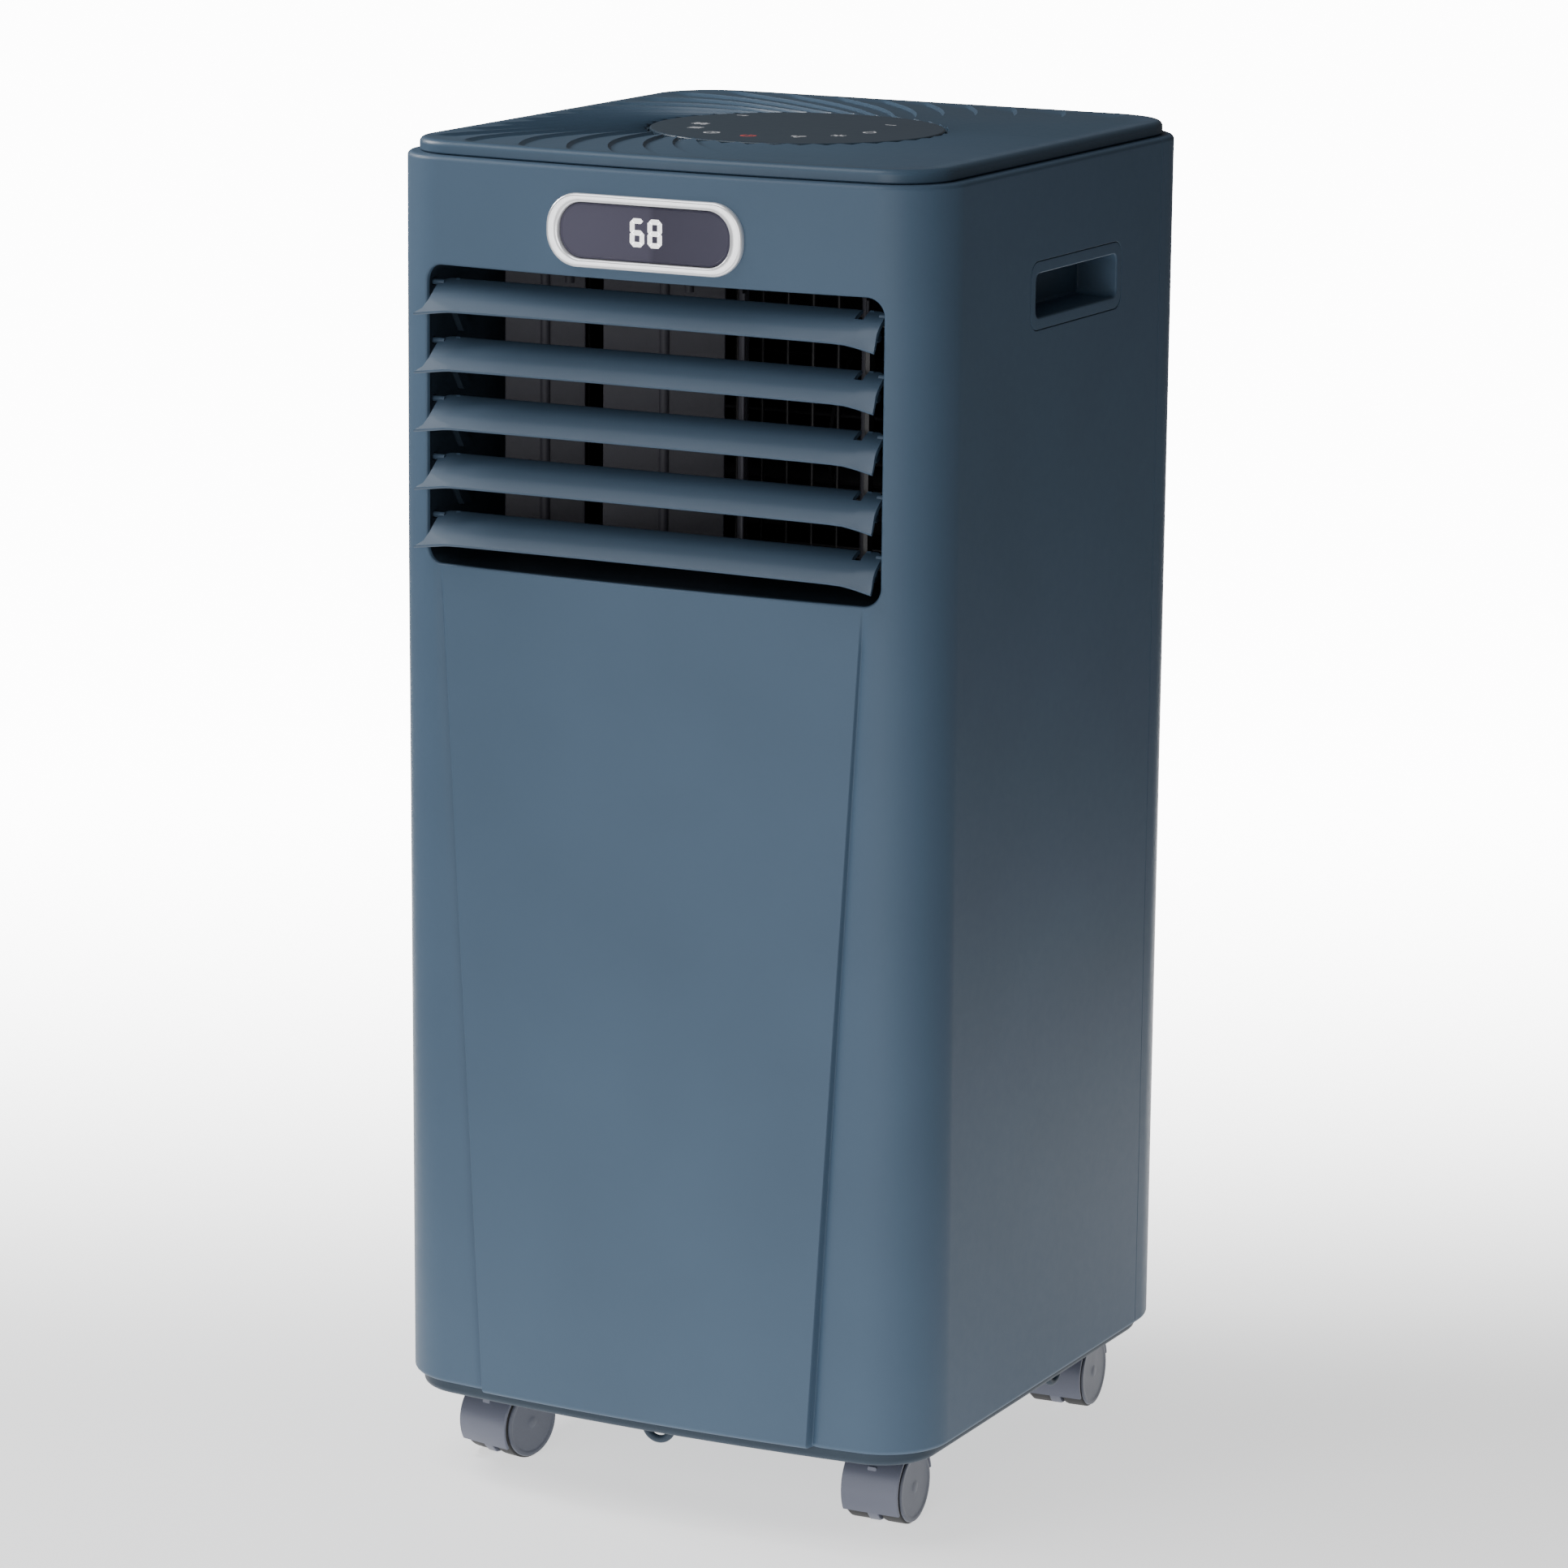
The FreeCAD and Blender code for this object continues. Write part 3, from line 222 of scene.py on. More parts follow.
def add_piece(name, verts, faces, body, slot, mat=None, replaces=(), normals=None, angle=32.0, weld=True):
    """Makes one object from points in millimetres and lets it ride on a body."""
    mesh = bpy.data.meshes.new(name)
    mesh.from_pydata([(v[0] * MM, v[1] * MM, v[2] * MM) for v in verts], [], [tuple(f) for f in faces])
    mesh.update()
    if normals is None:
        bm = bmesh.new()
        bm.from_mesh(mesh)
        if weld:
            bmesh.ops.remove_doubles(bm, verts=bm.verts, dist=1e-6)
        bmesh.ops.recalc_face_normals(bm, faces=bm.faces)
        bm.to_mesh(mesh)
        bm.free()
    mesh.shade_smooth()
    if normals is None:
        mesh.set_sharp_from_angle(angle=math.radians(angle))
    else:
        mesh.normals_split_custom_set_from_vertices([tuple(n) for n in normals])
    mesh.materials.append(mat or MATS[slot])
    obj = bpy.data.objects.new(name, mesh)
    scene.collection.objects.link(obj)
    if normals is None:
        shade = obj.modifiers.new("shading", "WEIGHTED_NORMAL")
        shade.keep_sharp = True
        shade.weight = 60
    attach(obj, body)
    if replaces:
        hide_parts(*replaces)
    return obj


class Mesh:
    """Points and faces gathered from several closed solids."""

    def __init__(self):
        self.verts = []
        self.faces = []

    def add(self, verts, faces, place=None):
        start = len(self.verts)
        for v in verts:
            self.verts.append(tuple(place(v)) if place else tuple(v))
        self.faces += [tuple(i + start for i in f) for f in faces]


def loft(rings, closed=False, caps=True):
    """Quads between rings of equal length; caps close both ends."""
    n = len(rings[0])
    verts = [p for ring in rings for p in ring]
    faces = []
    count = len(rings)
    for r in range(count if closed else count - 1):
        a, b = r * n, ((r + 1) % count) * n
        for i in range(n):
            j = (i + 1) % n
            faces.append((a + i, a + j, b + j, b + i))
    if caps and not closed:
        faces.append(tuple(range(n))[::-1])
        faces.append(tuple(range((count - 1) * n, count * n)))
    return verts, faces


def rounded(hx, hy, r, n=10, run=1):
    """Closed rounded rectangle about the origin, counter-clockwise."""
    r = min(r, hx - 0.01, hy - 0.01)
    corners = ((hx - r, hy - r, 0), (r - hx, hy - r, 1), (r - hx, r - hy, 2), (hx - r, r - hy, 3))
    pts = []
    for cx, cy, q in corners:
        for i in range(n + 1):
            a = (q + i / n) * PI / 2
            pts.append((cx + r * math.cos(a), cy + r * math.sin(a)))
    if run > 1:
        full = []
        for i, p in enumerate(pts):
            q = pts[(i + 1) % len(pts)]
            full.append(p)
            if (i + 1) % (n + 1) == 0:
                full += [(p[0] + (q[0] - p[0]) * k / run, p[1] + (q[1] - p[1]) * k / run)
                         for k in range(1, run)]
        pts = full
    return pts


def lathe(profile, steps, place):
    """Turns (axial, radial) points about the first axis; radius 0 makes a pole."""
    verts, faces, rows = [], [], []
    for a, r in profile:
        if r < 1e-6:
            rows.append([len(verts)])
            verts.append((a, 0.0, 0.0))
        else:
            rows.append(list(range(len(verts), len(verts) + steps)))
            verts += [(a, y, z) for y, z in circle(r, steps)]
    for p, q in zip(rows, rows[1:]):
        for k in range(steps):
            m = (k + 1) % steps
            if len(p) == 1:
                faces.append((p[0], q[m], q[k]))
            elif len(q) == 1:
                faces.append((p[k], p[m], q[0]))
            else:
                faces.append((p[k], p[m], q[m], q[k]))
    return [place(v) for v in verts], faces


def fillet(cx, cy, r, a0, a1, n=5):
    """Points of an arc, for profiles; angles in degrees."""
    return [(cx + r * math.cos(math.radians(a0 + (a1 - a0) * k / n)),
             cy + r * math.sin(math.radians(a0 + (a1 - a0) * k / n))) for k in range(n + 1)]


def circle(r, n=20):
    return [(r * math.cos(2 * PI * k / n), r * math.sin(2 * PI * k / n)) for k in range(n)]


# ------------------------------------------------------------------ plan of the cabinet

ARC_CY = -DEPTH / 2 + FRONT_RADIUS
FX = WIDTH / 2 - CORNER_FRONT
FY = ARC_CY - math.sqrt((FRONT_RADIUS - CORNER_FRONT) ** 2 - FX ** 2)
TANGENT = math.atan2(FY - ARC_CY, FX)
LEN_FRONT = FRONT_RADIUS * (TANGENT + PI / 2)
LEN_CORNER = CORNER_FRONT * -TANGENT
LEN_SIDE = DEPTH / 2 - CORNER_REAR - FY
LEN_REAR = CORNER_REAR * PI / 2
LEN_BACK = WIDTH / 2 - CORNER_REAR
U_CORNER = LEN_FRONT
U_SIDE = LEN_FRONT + LEN_CORNER
U_REAR = U_SIDE + LEN_SIDE
U_BACK = U_REAR + LEN_REAR
U_HALF = U_BACK + LEN_BACK


def plan(u):
    """Outline point and outward normal at distance u from the middle of the front, towards +X."""
    u = np.asarray(u, float)
    folded = (u + U_HALF) % (2 * U_HALF) - U_HALF
    side = np.where(folded < 0, -1.0, 1.0)
    m = np.abs(folded)
    a_front = -PI / 2 + m / FRONT_RADIUS
    a_corner = TANGENT + (m - U_CORNER) / CORNER_FRONT
    a_rear = (m - U_REAR) / CORNER_REAR
    zones = [m < U_CORNER, m < U_SIDE, m < U_REAR, m < U_BACK]
    rx, ry = WIDTH / 2 - CORNER_REAR, DEPTH / 2 - CORNER_REAR
    x = np.select(zones, [
        FRONT_RADIUS * np.cos(a_front), FX + CORNER_FRONT * np.cos(a_corner),
        np.full_like(m, WIDTH / 2), rx + CORNER_REAR * np.cos(a_rear)], LEN_BACK - (m - U_BACK))
    y = np.select(zones, [
        ARC_CY + FRONT_RADIUS * np.sin(a_front), FY + CORNER_FRONT * np.sin(a_corner),
        FY + m - U_SIDE, ry + CORNER_REAR * np.sin(a_rear)], DEPTH / 2)
    nx = np.select(zones, [np.cos(a_front), np.cos(a_corner), np.ones_like(m), np.cos(a_rear)], 0.0)
    ny = np.select(zones, [np.sin(a_front), np.sin(a_corner), np.zeros_like(m), np.sin(a_rear)], 1.0)
    return x * side, y, nx * side, ny


def u_of_x(x):
    """Distance along the front for a given x."""
    grid = np.linspace(0, U_SIDE, 4000)
    return np.sign(x) * np.interp(np.abs(x), plan(grid)[0], grid)


def panel_half(z):
    return PANEL_BOTTOM + (PANEL_TOP - PANEL_BOTTOM) * (z - SHELL_Z) / (OPEN_Z0 - SHELL_Z)


FOOT_R, RIM_R, RIM_IN, EDGE_R = 2.6, 2.4, 9.5, 0.25
W_LOW = SHELL_Z + FOOT_R - FOOT_R * PI / 2
W_RIM = BODY_TOP - RIM_R
W_HIGH = W_RIM + RIM_R * PI / 2 + RIM_IN - RIM_R


def height_profile(w):
    """Inset and height at distance w up the shell."""
    foot = SHELL_Z + FOOT_R
    a = np.clip((foot - w) / FOOT_R, 0, PI / 2)
    b = np.clip((w - W_RIM) / RIM_R, 0, PI / 2)
    over = np.clip(w - W_RIM - RIM_R * PI / 2, 0, None)
    inset = np.where(w < foot, FOOT_R * (1 - np.cos(a)), RIM_R * (1 - np.cos(b)) + over)
    z = np.where(w < foot, foot - FOOT_R * np.sin(a), np.where(w > W_RIM, W_RIM + RIM_R * np.sin(b), w))
    return inset, z


def shell_point(u, w, soft):
    """Point on the shell; soft is half the width over which the wings step back."""
    x, y, nx, ny = plan(u)
    inset, z = height_profile(w)
    folded = np.abs((u + U_HALF) % (2 * U_HALF) - U_HALF)
    share = np.clip((np.abs(x) - panel_half(z) + soft) / (2 * soft), 0, 1)
    share = share * share * (3 - 2 * share)
    back = WING_STEP * np.clip((OPEN_Z0 - z) / (OPEN_Z0 - SHELL_Z), 0, 1) * share
    beside = np.clip(1 - (np.abs(x) - panel_half(z)) / GROOVE_WIDE, 0, 1)
    back = back + GROOVE_DEEP * beside * beside * share * np.clip((OPEN_Z0 - 1.5 - z) / 5.0, 0, 1)
    back = back * np.clip(1 - (folded - U_SIDE) / 60, 0, 1)
    return np.stack([x - nx * inset, y - ny * inset + back, z], -1)


def shell_normal(u, w, soft):
    e = 0.02
    du = shell_point(u + e, w, soft) - shell_point(u - e, w, soft)
    dw = shell_point(u, w + e, soft) - shell_point(u, w - e, soft)
    n = np.cross(du, dw)
    return n / np.maximum(np.linalg.norm(n, axis=-1, keepdims=True), 1e-12)


# ------------------------------------------------------------------ skins: thin shells with holes


def ring_normals(loop):
    """Mitred normals of a closed 2-D loop, pointing to its left."""
    p = np.asarray(loop, float)
    a = np.roll(p, -1, 0) - p
    a /= np.maximum(np.linalg.norm(a, axis=1, keepdims=True), 1e-12)
    b = np.roll(a, 1, 0)
    na = np.stack([-a[:, 1], a[:, 0]], 1)
    nb = np.stack([-b[:, 1], b[:, 0]], 1)
    m = na + nb
    m /= np.maximum(np.linalg.norm(m, axis=1, keepdims=True), 1e-12)
    return m / np.maximum((m * na).sum(1, keepdims=True), 0.3)


def inside(loop, pts):
    """Which points lie in a closed 2-D loop."""
    p = np.asarray(loop, float)
    q = np.roll(p, -1, 0)
    hit = np.zeros(len(pts), bool)
    for (x0, y0), (x1, y1) in zip(p, q):
        if y0 == y1:
            continue
        cross = (pts[:, 1] >= min(y0, y1)) & (pts[:, 1] < max(y0, y1))
        at = x0 + (pts[:, 1] - y0) * (x1 - x0) / (y1 - y0)
        hit ^= cross & (pts[:, 0] < at)
    return hit


def close_to(loop, pts, reach):
    """Which points lie within reach of a closed 2-D loop."""
    p = np.asarray(loop, float)
    close = np.zeros(len(pts), bool)
    for a, b in zip(p, np.roll(p, -1, 0)):
        d = b - a
        t = np.clip(((pts - a) @ d) / max(d @ d, 1e-12), 0, 1)
        close |= np.linalg.norm(pts - a - t[:, None] * d, axis=1) < reach
    return close


def signed_area(loop):
    p = np.asarray(loop, float)
    q = np.roll(p, -1, 0)
    return float((p[:, 0] * q[:, 1] - q[:, 0] * p[:, 1]).sum() / 2)


def skin(point, normal, base_normal, outer, holes, pts, lines, wall):
    """Closed thin shell over the area between loops. Each loop is (points, edge radius)."""
    loops = []
    for k, (loop, r) in enumerate([outer] + holes):
        loop = np.asarray(loop, float)
        if (signed_area(loop) > 0) != (k == 0):
            loop = loop[::-1]
        away = ring_normals(loop)
        loops.append((loop, loop + away * r, -away, r))
    keep = np.ones(len(pts), bool)
    for k, (loop, flat, out, r) in enumerate(loops):
        keep &= ~close_to(flat, pts, 1.2)
        keep &= inside(flat, pts) if k == 0 else ~inside(flat, pts)
    coords, edges, starts = [], [], []
    for loop, flat, out, r in loops:
        s = len(coords)
        starts.append(s)
        coords += [tuple(p) for p in flat]
        edges += [(s + i, s + (i + 1) % len(flat)) for i in range(len(flat))]
    for ln in lines:
        s = len(coords)
        coords += [tuple(p) for p in ln]
        edges += [(s + i, s + i + 1) for i in range(len(ln) - 1)]
    coords += [tuple(p) for p in pts[keep]]
    flat_v, _, tris, orig, _, _ = delaunay_2d_cdt([Vector(c) for c in coords], edges, [], 0, 1e-5)
    uv = np.array([tuple(v) for v in flat_v], float)
    where = {}
    for i, olds in enumerate(orig):
        for o in olds:
            where[o] = i
    tris = np.array([tuple(t) for t in tris], int)
    mid = uv[tris].mean(1)
    ok = inside(loops[0][1], mid)
    for loop, flat, out, r in loops[1:]:
        ok &= ~inside(flat, mid)
    tris = tris[ok]
    n = len(uv)
    top = point(uv[:, 0], uv[:, 1])
    top_n = normal(uv[:, 0], uv[:, 1])
    low_n = base_normal(uv[:, 0], uv[:, 1])
    verts = [top, top - low_n * wall]
    norms = [top_n, -low_n]
    faces = [tuple(t) for t in tris] + [tuple(t[::-1] + n) for t in tris]
    total = 2 * n
    for (loop, flat, out, r), s in zip(loops, starts):
        count = len(flat)
        row = np.array([where[s + i] for i in range(count)])
        steps = 3 if r > 0.4 else 2
        unit = out / np.linalg.norm(out, axis=1, keepdims=True)
        ahead = flat + unit * 0.05
        tang = point(ahead[:, 0], ahead[:, 1]) - point(flat[:, 0], flat[:, 1])
        tang /= np.maximum(np.linalg.norm(tang, axis=1, keepdims=True), 1e-12)
        base = base_normal(flat[:, 0], flat[:, 1])
        prev = row
        for k in range(1, steps + 2):
            a = min(k, steps) / steps * PI / 2
            reach = r * math.sin(a)
            down = r * (1 - math.cos(a)) if k <= steps else wall
            at = flat + out * reach
            verts.append(point(at[:, 0], at[:, 1]) - base_normal(at[:, 0], at[:, 1]) * down)
            norms.append(base * math.cos(a) + tang * math.sin(a))
            new = np.arange(total, total + count)
            total += count
            for i in range(count):
                j = (i + 1) % count
                faces.append((prev[j], prev[i], new[i], new[j]))
            prev = new
        low = row + n
        for i in range(count):
            j = (i + 1) % count
            faces.append((prev[j], prev[i], low[i], low[j]))
    return np.concatenate(verts), faces, np.concatenate(norms)


def with_x(loop):
    """Loop given in x and z to one in u and w on the front."""
    p = np.asarray(loop, float)
    return np.stack([u_of_x(p[:, 0]), p[:, 1]], 1)


def placed(loop, cx, cy):
    return [(x + cx, y + cy) for x, y in loop]


W_BOTTOM, W_TOP = W_LOW + EDGE_R, W_HIGH - EDGE_R
FILLET_ROWS = [SHELL_Z + FOOT_R - FOOT_R * PI / 2 * k / 5 for k in range(5)][::-1]
RIM_ROWS = [W_RIM + RIM_R * PI / 2 * k / 6 for k in range(7)]
BODY_ROWS = list(np.linspace(80, 640, 15))
CURVE_ROWS = np.linspace(62.0, 662.0, 76)
CORNER_STEPS = 19
SHARP, SMOOTH = 0.75, 6.0


def between_ends(rows):
    return [w for w in rows if W_BOTTOM + 0.1 < w < W_TOP - 0.1]


def curved_points(u0, u1, steps=CORNER_STEPS):
    """Close-set points over a rounded corner, on both sides, between the body rows."""
    return [(s * u % (2 * U_HALF) if u1 > U_SIDE else s * u, w) for w in CURVE_ROWS
            for s in (-1, 1) for u in np.linspace(u0, u1, steps)]


def border(cols, bottom):
    """Outline of a shell in u and w; the bottom edge may have more points than the other rows."""
    rows = between_ends(FILLET_ROWS + BODY_ROWS + RIM_ROWS)
    flat = [(u, W_BOTTOM) for u in bottom] + [(cols[-1], w) for w in rows]
    flat += [(u, W_TOP) for u in cols[::-1]] + [(cols[0], w) for w in rows[::-1]]
    return np.array(flat) - ring_normals(flat) * EDGE_R


def level_lines(cols):
    return [[(u, w) for u in cols] for w in between_ends(FILLET_ROWS + RIM_ROWS)]


def grid(cols):
    return [(u, w) for w in between_ends(FILLET_ROWS + BODY_ROWS + RIM_ROWS) for u in cols]


def add_shell(node, outer, holes, pts, lines):
    verts, faces, norms = skin(
        lambda u, w: shell_point(u, w, SHARP), lambda u, w: shell_normal(u, w, SHARP),
        lambda u, w: shell_normal(u, w, SMOOTH), (outer, EDGE_R), holes, pts, lines, SHELL_WALL)
    add_piece(node + "_skin", verts, faces, "cabinet", "shell_plastic", replaces=(node,), normals=norms)


# Rows of points beside each edge of the raised panel, and the band there that has no others
PANEL_OFFSETS = (-0.9, -0.6, -0.3, 0.0, 0.3, 0.6, 0.9, 1.7, 2.7, 3.9, 5.0, 6.2)
BAND_IN, BAND_OUT = -2.2, 8.2
OPEN_LIP, SMALL_LIP, SLOT_LIP = 1.1, 0.3, 0.35
BADGE_HOLE, POCKET_HOLE = (51.6, 16.3, 15.3), (53.9, 17.0, 8.0)


def edge_at(side, offset, w):
    """Place along the front, an offset outside the panel edge, at distance w up the shell."""
    z = float(height_profile(np.array(w))[1])
    return float(side * u_of_x(panel_half(z) + offset))


def build_front():
    seam = U_SIDE + SEAM_Y - FY
    flat_steps = [k * 12.0 for k in range(int(U_CORNER / 12) + 1)]
    corner_steps = list(np.linspace(U_CORNER, U_SIDE, CORNER_STEPS))
    half = sorted(set(flat_steps + corner_steps + list(np.linspace(U_SIDE + 14, seam - EDGE_R, 8))))
    cols = [-u for u in half[::-1] if u > 0] + half
    edge_u = [edge_at(s, d, W_BOTTOM) for s in (-1, 1) for d in PANEL_OFFSETS]
    cols = [u for u in cols if min(abs(u - e) for e in edge_u) > 2.2]
    climb = np.linspace(W_BOTTOM, OPEN_Z0 - 3.0, 24)
    lines = level_lines(cols)
    for s in (-1, 1):
        lines += [[(edge_at(s, d, w), w) for w in climb] for d in PANEL_OFFSETS]
    pts = np.array(grid(cols) + curved_points(U_CORNER, U_SIDE))
    beside = np.abs(plan(pts[:, 0])[0]) - panel_half(pts[:, 1])
    pts = pts[(beside < BAND_IN) | (beside > BAND_OUT) | (pts[:, 1] > OPEN_Z0)]
    opening = with_x(placed(rounded(OPEN_HALF, (OPEN_Z1 - OPEN_Z0) / 2, OPEN_R, 10, 24), 0, OPEN_CZ))
    badge = with_x(placed(rounded(*BADGE_HOLE, 10, 8), 0, BADGE_Z))
    holes = [(opening, OPEN_LIP), (badge, SMALL_LIP)]
    for s in (-1, 1):
        pocket = placed(rounded(*POCKET_HOLE, 8, 6), HANDLE_Y, HANDLE_Z)
        holes.append(([(s * (U_SIDE + y - FY), z) for y, z in pocket], SLOT_LIP))
    add_shell("housing_front", border(cols, sorted(cols + edge_u)), holes, pts, lines)


SEAM_GAP = 0.15
GRILLE_HOLES, GRILLE_HALF = ((406.0, 614.0), (74.0, 248.0)), 94.0
COLLAR_R, COLLAR_Z = 66.3, 325.0
GLAND_R, GLAND_X, GLAND_Z = 6.2, -101.5, 64.0
SCREW_R, SCREW_X, SCREW_ZS = 3.9, 101.5, (90.0, 238.0, 424.0, 600.0)


def on_back(loop, x, z):
    return [(U_HALF - (px + x), pz + z) for px, pz in loop]


def build_rear():
    seam = U_SIDE + SEAM_Y + SEAM_GAP - FY
    half = [seam + EDGE_R, U_REAR] + list(np.linspace(U_REAR, U_BACK, CORNER_STEPS))[1:]
    half += list(np.linspace(U_BACK, U_HALF, 7))[1:]
    cols = half + [2 * U_HALF - u for u in half[:-1][::-1]]
    off_corner = [u for u in cols if not U_REAR - 9 < min(u, 2 * U_HALF - u) < U_BACK + 9]
    pts = np.array(grid(off_corner) + curved_points(U_REAR - 7, U_BACK + 7, CORNER_STEPS + 4))
    holes = []
    for z0, z1 in GRILLE_HOLES:
        hole = rounded(GRILLE_HALF, (z1 - z0) / 2, 6, 8, 12)
        holes.append((on_back(hole, 0, (z0 + z1) / 2), SLOT_LIP))
    holes.append((on_back(circle(COLLAR_R, 72), 0, COLLAR_Z), SLOT_LIP))
    holes.append((on_back(circle(GLAND_R, 28), GLAND_X, GLAND_Z), SMALL_LIP))
    for z in SCREW_ZS:
        holes += [(on_back(circle(SCREW_R, 24), s * SCREW_X, z), SMALL_LIP) for s in (-1, 1)]
    add_shell("housing_rear", border(cols, cols), holes, pts, level_lines(cols))


build_front()
build_rear()

# ------------------------------------------------------------------ top cover with its swirl

# Swirl: ribs between the disc and the rim, each rising from a step over its share of the circle
RIBS = 38
RIB_PHASE = np.array([0.0, 0.05, 0.12, 0.22, 0.34, 0.48, 0.62, 0.76, 0.88, 0.97])
SWIRL_IN, SWIRL_INSET, SWEEP, RELIEF = 76.2, 11.2, math.radians(34.0), 1.5
SWIRL_FADE = 0.10
DISC_SEAT_Z = TOP_Z - 3.2


def build_lid():
    dense = np.linspace(-U_HALF, U_HALF, 16001)
    x, y, nx, ny = plan(dense)
    rim_x, rim_y = x - nx * SWIRL_INSET, y - ny * SWIRL_INSET
    angle = np.unwrap(np.arctan2(rim_y, rim_x))
    reach = np.hypot(rim_x, rim_y)
    lo = angle[0]

    def rim(phi):
        p = (phi - lo) % (2 * PI) + lo
        return np.interp(p, angle, reach), np.interp(p, angle, dense)

    theta = np.concatenate([(k + RIB_PHASE) for k in range(RIBS)]) * 2 * PI / RIBS
    drop = RELIEF * (1 - np.tile(np.where(RIB_PHASE < 0.001, 0.5, (RIB_PHASE - 0.05) / 0.92), RIBS))
    rings = []
    ts = np.concatenate([[0.0], np.linspace(0.012, 0.9, 30), [0.94, 0.97, 1.0]])
    for t in ts:
        phi = theta + SWEEP * t ** 0.8
        out, _ = rim(phi)
        r = SWIRL_IN + t * (out - SWIRL_IN)
        fade = min(1.0, (1 - t) / SWIRL_FADE)
        fade = fade * fade * (3 - 2 * fade)
        rings.append(np.stack([r * np.cos(phi), r * np.sin(phi), TOP_Z - drop * fade - 0.02], 1))
    _, us = rim(theta + SWEEP)
    px, py, qx, qy = plan(us)
    side = [(LID_INSET + LID_EDGE * (1 - math.sin(a)), TOP_Z - LID_EDGE * (1 - math.cos(a)))
            for a in np.linspace(0, PI / 2, 9)]
    side += [(LID_INSET, 677.0), (LID_INSET + 0.5, 676.4), (LID_INSET + 2.5, LID_FOOT)]
    for inset, z in side:
        rings.append(np.stack([px - qx * inset, py - qy * inset, np.full(len(px), z)], 1))
    inner = []
    for r, z in ((SWIRL_IN - 0.25, TOP_Z - RELIEF - 0.35), (DISC_R + 0.9, TOP_Z - RELIEF - 0.7),
                 (DISC_R + 0.6, DISC_SEAT_Z), (0.35 * DISC_R, DISC_SEAT_Z)):
        inner.append(np.stack([r * np.cos(theta), r * np.sin(theta), np.full(len(theta), z)], 1))
    rings = inner[::-1] + rings
    in_x, in_y = px - qx * (LID_INSET + 2.5), py - qy * (LID_INSET + 2.5)
    rings += [np.stack([in_x * s, in_y * s, np.full(len(px), LID_FOOT)], 1) for s in (0.6, 0.2)]
    verts, faces = loft([list(map(tuple, r)) for r in rings])
    add_piece("top_cover_swirl", verts, faces, "cabinet", "shell_plastic", mat=MATS["lid"],
              replaces=("top_cover",), angle=24.0)


def build_disc():
    profile = [(TOP_Z - 2.9, 0.0), (TOP_Z - 2.9, DISC_R - 0.4), (TOP_Z - 2.5, DISC_R)]
    profile += [(z, r) for r, z in fillet(DISC_R - 0.9, TOP_Z - 1.0, 0.9, 0, 90, 5)]
    profile += [(TOP_Z - 0.1, DISC_R - 3.0), (TOP_Z - 0.16, DISC_R - 6.0)]
    profile += [(TOP_Z - 0.18, 40.0), (TOP_Z - 0.18, 0.0)]
    verts, faces = lathe(profile, 144, lambda v: (v[1], v[2], v[0]))
    add_piece("control_disc", verts, faces, "cabinet", "panel_gloss", replaces=("control_panel",))


def ribbon(mesh, pts, width, z0, z1, closed=False):
    """Flat printed stroke along 2-D points."""
    p = np.asarray(pts, float)
    if closed:
        m = ring_normals(p)
    else:
        d = np.diff(p, axis=0)
        d /= np.maximum(np.linalg.norm(d, axis=1, keepdims=True), 1e-12)
        n = np.stack([-d[:, 1], d[:, 0]], 1)
        m = np.concatenate([n[:1], (n[:-1] + n[1:]), n[-1:]])
        m /= np.maximum(np.linalg.norm(m, axis=1, keepdims=True), 1e-12)
    left, right = p + m * width / 2, p - m * width / 2
    rings = []
    for a, b in zip(left, right):
        rings.append([(a[0], a[1], z0), (b[0], b[1], z0), (b[0], b[1], z1), (a[0], a[1], z1)])
    mesh.add(*loft(rings, closed=closed, caps=not closed))


def icon_strokes(kind):
    """Strokes of one key mark, about 8 mm across: (points, closed)."""
    if kind == "power":
        return [(fillet(0, 0, 3.4, 125, 415, 22), False), ([(0, 0.6), (0, 4.4)], False)]
    if kind == "flake":
        return [([(3.9 * math.cos(a), 3.9 * math.sin(a)), (-3.9 * math.cos(a), -3.9 * math.sin(a))], False)
                for a in (PI / 2, PI / 6, -PI / 6)]
    if kind == "fan":
        blades = []
        for k in range(3):
            turn = math.radians(120 * k + 30)
            c, s = math.cos(turn), math.sin(turn)
            angles = np.linspace(0, 2 * PI, 13)[:-1]
            loop = [(1.9 + 1.9 * math.cos(a), 1.1 * math.sin(a) + 0.5) for a in angles]
            blades.append(([(x * c - y * s, x * s + y * c) for x, y in loop], True))
        return blades
    if kind == "drop":
        return [([(0, 4.2), (2.2, 1.0)] + fillet(0, -0.9, 2.9, 40, -220, 16) + [(-2.2, 1.0)], True)]
    if kind == "clock":
        return [(circle(3.7), True), ([(0, 2.3), (0, 0), (1.9, 0)], False)]
    if kind == "wave":
        xs = np.linspace(-4, 4, 17)
        return [([(x, math.sin(x * 1.6) + d) for x in xs], False) for d in (-2.0, 0.4, 2.8)]
    if kind == "bars":
        return [([(-3.4, d), (3.4, d)], False) for d in (-1.8, 0.6, 3.0)]
    if kind == "dash":
        return [([(-3.0, 0), (3.0, 0)], False)]
    return [([(-3.2, 0), (2.8, 0)], False), ([(0.6, 1.7), (3.0, 0), (0.6, -1.7)], False)]


ICON_LINE, POWER_LINE, POWER_AT = 1.15, 1.5, (-3.5, -46.5)
ICONS = (
    ("wave", -50.4, -8.6), ("bars", -43.4, -27.1), ("clock", -25.8, -42.9), ("fan", 19.0, -36.6),
    ("flake", 34.3, -22.3), ("drop", 40.8, -0.2), ("dash", 34.1, 36.4), ("arrow", -50.7, 37.9),
)


